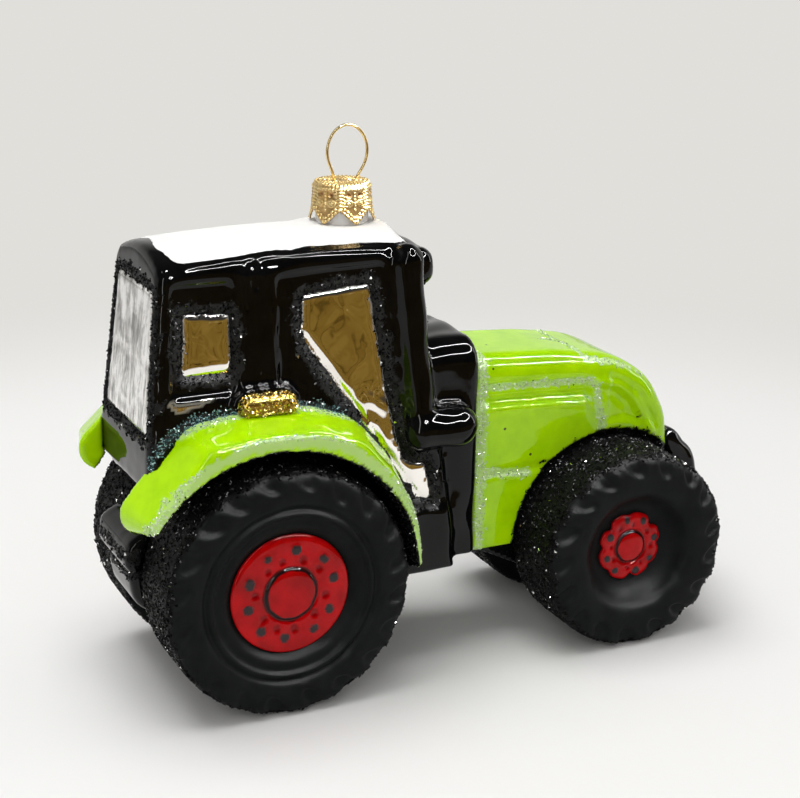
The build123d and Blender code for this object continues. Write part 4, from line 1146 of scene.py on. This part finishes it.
def crown_cap():
    """The embossed cap: six pointed petals, studded ribs, leaves and arched hollows, darkened with painted
    shade.
    """
    low, high = box_mm("metal_cap")
    middle = (low + high) / 2 - ORIGIN
    top, foot = high[2] + 0.25, low[2] + 0.2
    shoulder, wall_r, foot_r = top - 0.7, 4.38, (high[0] - low[0]) / 2 - 0.05
    section = [(r, top - 0.2) for r in np.linspace(0, 3.7, 13)]
    section += [(3.9, top - 0.22), (4.1, top - 0.28), (4.25, top - 0.4), (4.34, top - 0.55)]
    rows = 21
    for k in range(rows + 1):
        wall = wall_r + (foot_r - wall_r) * (k / rows) ** 1.6
        section.append((wall, shoulder - (shoulder - foot) * k / rows))
    form = spin_section([(r, 0, z) for r, z in section], (0, 0, 1), 118)
    bmesh.ops.translate(form, verts=form.verts, vec=(middle[0], 0, 0))
    cap = subdivide(piece_from(form, "crown_cap"), 1)
    points = places(cap)
    across, out = points[:, 0] - middle[0], points[:, 1]
    radial, angle = np.hypot(across, out), np.arctan2(out, across)
    sector = 2 * math.pi / CAP_PETALS
    from_notch = (angle - CAP_TURN + sector / 2) % sector - sector / 2
    half_petal = sector / 2 * 4.7
    u = np.abs(from_notch) * 4.7
    drop = np.clip(shoulder - points[:, 2], 0, None)
    share = drop / (shoulder - foot)
    depth = (shoulder - foot) - CAP_NOTCH * np.clip(1 - u / (0.93 * half_petal), 0, 1)
    z = np.where(drop > 0, shoulder - share * depth, points[:, 2])
    v = z - foot
    slope = CAP_NOTCH / (0.93 * half_petal)
    rim = shoulder - foot
    ribs = studs(u, v, [(0, 2.35 + 0.5 * k) for k in range(7)], 0.46, 0.24)
    outer_ribs = studs(u, v, [(0.62, 2.2 + 0.5 * k) for k in range(7)], 0.2, 0.2)
    hem = np.zeros(len(points))
    for start, rise, count, size in ((0.2, 0.34, 5, (0.23, 0.26)), (0.75, 0.95, 4, (0.2, 0.22))):
        along = [start + 0.5 * k for k in range(count)]
        spots = [(place, CAP_NOTCH - slope * place + rise) for place in along]
        hem = np.maximum(hem, studs(u, v, spots, *size))
    leaf_gap = np.hypot((u - 1.36) / 0.66, (v - 3.15) / 0.48)
    leaf = 0.8 * bell(leaf_gap - 0.9, 0.17) + np.sqrt(np.clip(1 - (leaf_gap / 0.55) ** 2, 0, 1))
    centre = studs(u, v, [(half_petal, 3.2 + k) for k in (-1.0, -0.5, 0.5, 1.0, 1.5)], 0.2, 0.2)
    diamond = np.clip(1 - np.abs(u - half_petal) / 0.42 - np.abs(v - 3.2) / 0.42, 0, 1)
    arch = np.sqrt(np.clip(1 - ((u - 1.45) / 0.55) ** 2 - ((v - 4.45) / 0.45) ** 2, 0, 1))
    collar = studs(((angle + math.pi) * 4.4) % 0.576 - 0.288, v, [(0, rim - 0.12)], 0.25, 0.24)
    height = 0.26 * ribs + 0.17 * outer_ribs + 0.24 * hem
    height = height + 0.22 * np.minimum(leaf, 1.1) + 0.18 * centre + 0.28 * diamond
    height = np.maximum(height, 0.2 * collar) * (v < rim + 0.2)
    height -= 0.22 * arch
    flare = 0.16 * smooth_step(1.6 - v, 0, 1.6)
    grow = (radial + (height + flare) * smooth_step(drop, -0.05, 0.05)) / np.maximum(radial, 1e-6)
    points[:, 0], points[:, 1] = middle[0] + across * grow, out * grow
    beads = np.zeros(len(points))
    for ring, count in ((4.02, 42), (3.4, 36), (2.75, 28), (2.1, 20), (1.2, 12)):
        step = 2 * math.pi / count
        round_the_ring = ((angle % step) - step / 2) * ring
        beads = np.maximum(beads, studs(radial, round_the_ring, [(ring, 0.0)], 0.29, 0.27))
    points[:, 2] = z + 0.22 * beads * (drop <= 0)
    move_to(cap, points)
    # Painted shade: the arched hollows, the low ground round the embossing and the ground between the top's
    # beads are marked to be darkened brown.
    hollow = np.maximum(arch, 0.55 * fade(height, 0.0, 0.12)) * (drop > 0.1)
    hollow = np.maximum(hollow, 0.45 * fade(beads, 0.0, 0.5) * (drop <= 0))
    put_value(cap, "hollow", hollow)
    sheet = cap.modifiers.new("sheet", "SOLIDIFY")
    sheet.thickness = 0.2 * MM
    sheet.offset = -1
    settle(cap)
    finish(cap, "gold_sheet", "cap")
    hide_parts("metal_cap")
    return cap


def hanger():
    """The sprung wire: an egg-shaped loop above the cap and two legs down the neck."""
    cap_low, cap_high = box_mm("metal_cap")
    wire_low, wire_high = box_mm("hanger_wire")
    centre = (cap_low[0] + cap_high[0]) / 2
    cap_top, top, foot = cap_high[2], wire_high[2] - 0.225, wire_low[2]
    lean, wide = 0.9, 3.2
    egg_middle, egg_half = cap_top + 4.3, top - cap_top - 4.45
    rows = [(-2.3, foot + 0.4), (-2.75, foot + 4.5), (-1.75, cap_top - 2.6), (-0.95, cap_top - 0.8)]
    for turn in range(-128, 129, 16):
        swing = math.radians(turn)
        narrow = 1 - 0.10 * max(0.0, -math.cos(swing))
        across = lean + wide * narrow * 1.045 * math.sin(swing)
        rows.append((across, egg_middle + egg_half * 1.04 * math.cos(swing)))
    rows += [(1.5, cap_top - 0.8), (1.75, cap_top - 2.6), (2.75, foot + 4.5), (2.3, foot + 0.4)]
    curve = bpy.data.curves.new("hanger_loop", "CURVE")
    curve.dimensions = "3D"
    spline = curve.splines.new("NURBS")
    spline.points.add(len(rows) - 1)
    for point, (x, z) in zip(spline.points, rows):
        point.co = ((centre + x) * MM, 0.0, z * MM, 1.0)
    spline.use_endpoint_u = True
    spline.order_u = 4
    spline.resolution_u = 8
    curve.bevel_depth = 0.225 * MM
    curve.bevel_resolution = 4
    curve.use_fill_caps = True
    loop = bpy.data.objects.new("hanger_loop", curve)
    bpy.context.scene.collection.objects.link(loop)
    mesh = bpy.data.meshes.new_from_object(loop.evaluated_get(bpy.context.evaluated_depsgraph_get()))
    bpy.data.objects.remove(loop)
    wire = add_piece("hanger_loop", mesh)
    finish(wire, "gold_wire", "cap")
    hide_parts("hanger_wire")
    return wire


# ---- Put together ----

panes = window_panes()
cab, cab_frames, cab_joint = cab_body(panes)
belly, belly_bands = underbody()
hood_shell, hood_bands, hood_under = bonnet()
enamel_patch(cab)
crown_cap()
hanger()
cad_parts["neck"].data.materials[0] = MATERIALS["dipped_neck"]

BLACK = dict(spacing=0.365, sparkle=0.02)
ARCH = {**BLACK, "spacing": 0.4}
WHITE = dict(spacing=0.32, sparkle=0.025, grains=("white_grain", "white_spark"))
JOINT = {**WHITE, "spacing": 0.27}
GILT = dict(spacing=0.34, sparkle=0.12, grains=("gold_grain", "gold_spark"))

sides = smooth_step(np.abs(facings(cab)[:, 1]), 0.55, 0.6)
lay("cab_side_glitter", cab, cab_frames * sides, "black_lacquer", **BLACK)
lay("cab_end_glitter", cab, cab_frames * (1 - sides), "black_lacquer", **BLACK)
for node, pane in panes.items():
    rim = np.empty(len(pane.data.vertices), np.float32)
    pane.data.attributes["rim"].data.foreach_get("value", rim)
    lay("rim_glitter_" + node, pane, rim, "black_lacquer", **BLACK)
lay("tail_glitter", belly, belly_bands, "black_lacquer", **BLACK)


def between(first, second, share):
    return np.array(first) * (1 - share) + np.array(second) * share


def tones(at):
    """A chance number for each grain."""
    return rng.uniform(0, 1, (len(at), 1))


def mint(at):
    """White grains over the lime, which shows through them."""
    return between((0.42, 0.66, 0.20), (0.80, 0.89, 0.68), tones(at))


def teal_to_mint(at):
    """The same grains where they run on to the black: a cold blue-green."""
    dark = between((0.05, 0.16, 0.17), (0.30, 0.50, 0.50), tones(at))
    share = smooth_step(np.abs(at[:, 1]) + rng.normal(0, 0.3, len(at)), 12.9, 13.8)[:, None]
    return between(dark, mint(at), share)


def teal(at):
    return between((0.04, 0.16, 0.18), (0.48, 0.74, 0.74), tones(at) ** 1.5)


def gilt(at):
    return between((0.42, 0.27, 0.03), (1.0, 0.86, 0.34), tones(at) ** 0.8)


lay("cab_joint_glitter", cab, cab_joint, "black_lacquer", colour=teal, **JOINT)
lay("arch_glitter", hood_shell, hood_under, "black_lacquer", **ARCH)
lay("bonnet_glitter", hood_shell, hood_bands, "green_lacquer", colour=mint, **WHITE)
for side, name in SIDE_NAMES.items():
    shell, shell_bands, shell_under = fender(side)
    lay("fender_under_glitter_" + name, shell, shell_under, "black_lacquer", **ARCH)
    lay("fender_glitter_" + name, shell, shell_bands, "green_lacquer", colour=teal_to_mint, **WHITE)
    gem = lamp(side)
    outer = smooth_step(facings(gem)[:, 1] * side, -0.9, -0.6)
    lay("lamp_glitter_" + name, gem, outer, "gold_glitter", colour=gilt, **GILT)
    for end in ("rear", "front"):
        body, tread, hold = tyre(end, side)
        lay(f"tread_glitter_{end}_{name}", body, tread, "matt_black_lacquer", 0.43, 0.02, hold=hold)
        hub(end, side)


# ---- Floor, light and camera ----

CAMERA = dict(turn=-25.23, rise=17.41, distance=285.35, aim=(26.49, 0.0, 41.03), roll=0.55, lens=80.416)


def place_camera():
    turn, rise, roll = (math.radians(CAMERA[key]) for key in ("turn", "rise", "roll"))
    back = Vector((math.sin(turn) * math.cos(rise), -math.cos(turn) * math.cos(rise), math.sin(rise)))
    right = Vector((math.cos(turn), math.sin(turn), 0))
    up = back.cross(right)
    right, up = (math.cos(roll) * right + math.sin(roll) * up, math.cos(roll) * up - math.sin(roll) * right)
    at = (Vector(CAMERA["aim"]) + Vector(ORIGIN.tolist()) + back * CAMERA["distance"]) * MM
    camera = bpy.data.objects.new("camera", bpy.data.cameras.new("camera"))
    camera.data.lens = CAMERA["lens"]
    camera.data.sensor_width = 36.0
    camera.data.clip_start = 0.01
    turned = Matrix((right, up, back)).transposed().to_4x4()
    camera.matrix_world = Matrix.Translation(at) @ turned
    bpy.context.scene.collection.objects.link(camera)
    bpy.context.scene.camera = camera


def mix_shader(tree, share, first, second):
    return add_node(tree, "MixShader", {0: share, 1: first, 2: second}).outputs[0]


def dot_product(tree, direction, toward):
    return add_node(tree, "VectorMath", {0: direction, 1: toward}, operation="DOT_PRODUCT").outputs["Value"]


def make_floor():
    form = bmesh.new()
    bmesh.ops.create_circle(form, cap_ends=True, segments=96, radius=6.0)
    mesh = bpy.data.meshes.new("floor")
    form.to_mesh(mesh)
    form.free()
    floor = add_piece("floor", mesh)
    material = bpy.data.materials.new("paper_sweep")
    material.use_nodes = True
    tree = material.node_tree
    shader = tree.nodes["Principled BSDF"]
    shader.inputs["Roughness"].default_value = 0.7
    shader.inputs["Specular IOR Level"].default_value = 0.2
    coords = add_node(tree, "TexCoord").outputs["Object"]
    away = add_node(tree, "VectorMath", {0: coords}, operation="LENGTH").outputs["Value"]
    shader.inputs["Base Color"].default_value = (0.86, 0.855, 0.845, 1)
    path = add_node(tree, "LightPath").outputs
    # Seen straight on, the paper fades to an even pale grey behind the tractor
    far = range_node(tree, away, 0.13, 0.25, soft=True)
    even = add_node(tree, "Emission", {"Color": (0.75, 0.738, 0.705, 1), "Strength": 1.0}).outputs[0]
    paper = mix_shader(tree, math_node(tree, "MULTIPLY", far, path["Is Camera Ray"]), shader.outputs[0], even)
    # Past its near edge, mirrors see the room and not the paper
    front = add_node(tree, "SeparateXYZ", {0: coords}).outputs["Y"]
    beyond = range_node(tree, front, -0.115, -0.135)
    clear = add_node(tree, "BsdfTransparent").outputs[0]
    mix = mix_shader(tree, math_node(tree, "MULTIPLY", beyond, path["Is Glossy Ray"]), paper, clear)
    tree.links.new(mix, tree.nodes["Material Output"].inputs["Surface"])
    mesh.materials.append(material)


def light_room():
    world = bpy.data.worlds.new("room")
    bpy.context.scene.world = world
    world.use_nodes = True
    tree = world.node_tree
    soft = tree.nodes["Background"]
    soft.inputs["Color"].default_value = (1.0, 0.99, 0.975, 1)
    soft.inputs["Strength"].default_value = 0.42
    direction = add_node(tree, "TexCoord").outputs["Generated"]
    parts = add_node(tree, "SeparateXYZ", {0: direction}).outputs
    y, z = parts["Y"], parts["Z"]
    scaled = add_node(tree, "Mapping", {"Vector": direction, "Scale": (15, 15, 5)}).outputs[0]
    noise = {"Vector": scaled, "Scale": 1.0, "Detail": 3.0, "Distortion": 1.5}
    clutter = add_node(tree, "TexNoise", noise).outputs[0]
    room = ramp_node(tree, clutter, [
        (0.36, (0.03, 0.018, 0.004)), (0.40, (0.17, 0.10, 0.016)),
        (0.62, (0.24, 0.15, 0.03)), (0.68, (0.40, 0.30, 0.14)),
    ])
    upper = range_node(tree, z, -0.02, 0.12, soft=True)
    room = blend_node(tree, upper, room, (0.035, 0.034, 0.032, 1))
    paper = (0.78, 0.77, 0.75, 1)
    behind = range_node(tree, y, -0.12, 0.2, soft=True)
    walls = blend_node(tree, behind, room, paper)
    above = range_node(tree, z, 0.25, 0.7, soft=True)
    ceiling = blend_node(tree, above, walls, (0.07, 0.07, 0.068, 1))
    # Two upright strip lamps, one at each side
    for turn in (-6.0, -128.0):
        toward = (math.cos(math.radians(turn)), math.sin(math.radians(turn)), 0)
        beside = dot_product(tree, direction, (-toward[1], toward[0], 0))
        facing = dot_product(tree, direction, toward)
        strip = range_node(tree, math_node(tree, "ABSOLUTE", beside), 0.035, 0.06, 1.0, 0.0)
        strip = math_node(tree, "MULTIPLY", strip, math_node(tree, "GREATER_THAN", facing, 0.5))
        strip = math_node(tree, "MULTIPLY", strip, math_node(tree, "GREATER_THAN", z, -0.05))
        ceiling = blend_node(tree, strip, ceiling, (9.0, 9.0, 8.9, 1))
    mirrored = add_node(tree, "Background", {"Color": ceiling, "Strength": 1.0}).outputs[0]
    seen = add_node(tree, "Background", {"Color": (0.735, 0.72, 0.69, 1), "Strength": 1.0}).outputs[0]
    path = add_node(tree, "LightPath")
    first = mix_shader(tree, path.outputs["Is Glossy Ray"], soft.outputs[0], mirrored)
    last = mix_shader(tree, path.outputs["Is Camera Ray"], first, seen)
    tree.links.new(last, tree.nodes["World Output"].inputs["Surface"])

    for name, at, size, power in (
        ("overhead", (-0.10, 0.02, 0.62), (0.45, 0.40), 2.8),
        ("front_fill", (-0.35, -0.45, 0.40), (0.30, 0.30), 0.5),
    ):
        lamp_data = bpy.data.lights.new(name, "AREA")
        lamp_data.shape = "RECTANGLE"
        lamp_data.size, lamp_data.size_y = size
        lamp_data.energy = power
        light = bpy.data.objects.new(name, lamp_data)
        light.location = at
        light.rotation_euler = (Vector((0, 0, 0.03)) - Vector(at)).to_track_quat("-Z", "Y").to_euler()
        bpy.context.scene.collection.objects.link(light)
        light.visible_glossy = False


def ring_lamp(at, half_length, half_width, thick, strength):
    """A strip lamp bent into a long rounded loop: only the gloss sees it, as thin bright outlines."""
    form = bmesh.new()
    bmesh.ops.create_circle(form, cap_ends=False, segments=8, radius=thick)
    bmesh.ops.rotate(form, cent=(0, 0, 0), matrix=Matrix.Rotation(math.pi / 2, 3, "X"), verts=form.verts)
    bmesh.ops.translate(form, verts=form.verts, vec=(half_width, 0, 0))
    spin_round(form, (0, 0, 1), 96)
    stretch = half_length - half_width
    for vert in form.verts:
        vert.co.x += stretch * math.tanh(vert.co.x / (0.25 * half_width))
    turn = (Vector((0, 0, 0.06)) - Vector(at)).to_track_quat("-Z", "Y").to_matrix().to_4x4()
    bmesh.ops.transform(form, matrix=Matrix.Translation(at) @ turn, verts=form.verts)
    mesh = bpy.data.meshes.new("ring_lamp")
    form.to_mesh(mesh)
    form.free()
    lamp_ring = add_piece("ring_lamp", mesh)
    material = bpy.data.materials.new("ring_lamp")
    material.use_nodes = True
    tree = material.node_tree
    tree.nodes.remove(tree.nodes["Principled BSDF"])
    emit = add_node(tree, "Emission", {"Color": (1, 1, 1, 1), "Strength": strength})
    tree.links.new(emit.outputs[0], tree.nodes["Material Output"].inputs["Surface"])
    mesh.materials.append(material)
    lamp_ring.visible_camera = False
    lamp_ring.visible_diffuse = False
    lamp_ring.visible_shadow = False


place_camera()
make_floor()
light_room()
ring_lamp((0.18, -0.21, 0.405), 0.22, 0.15, 0.0034, 300.0)

bpy.context.scene.view_settings.view_transform = "Standard"
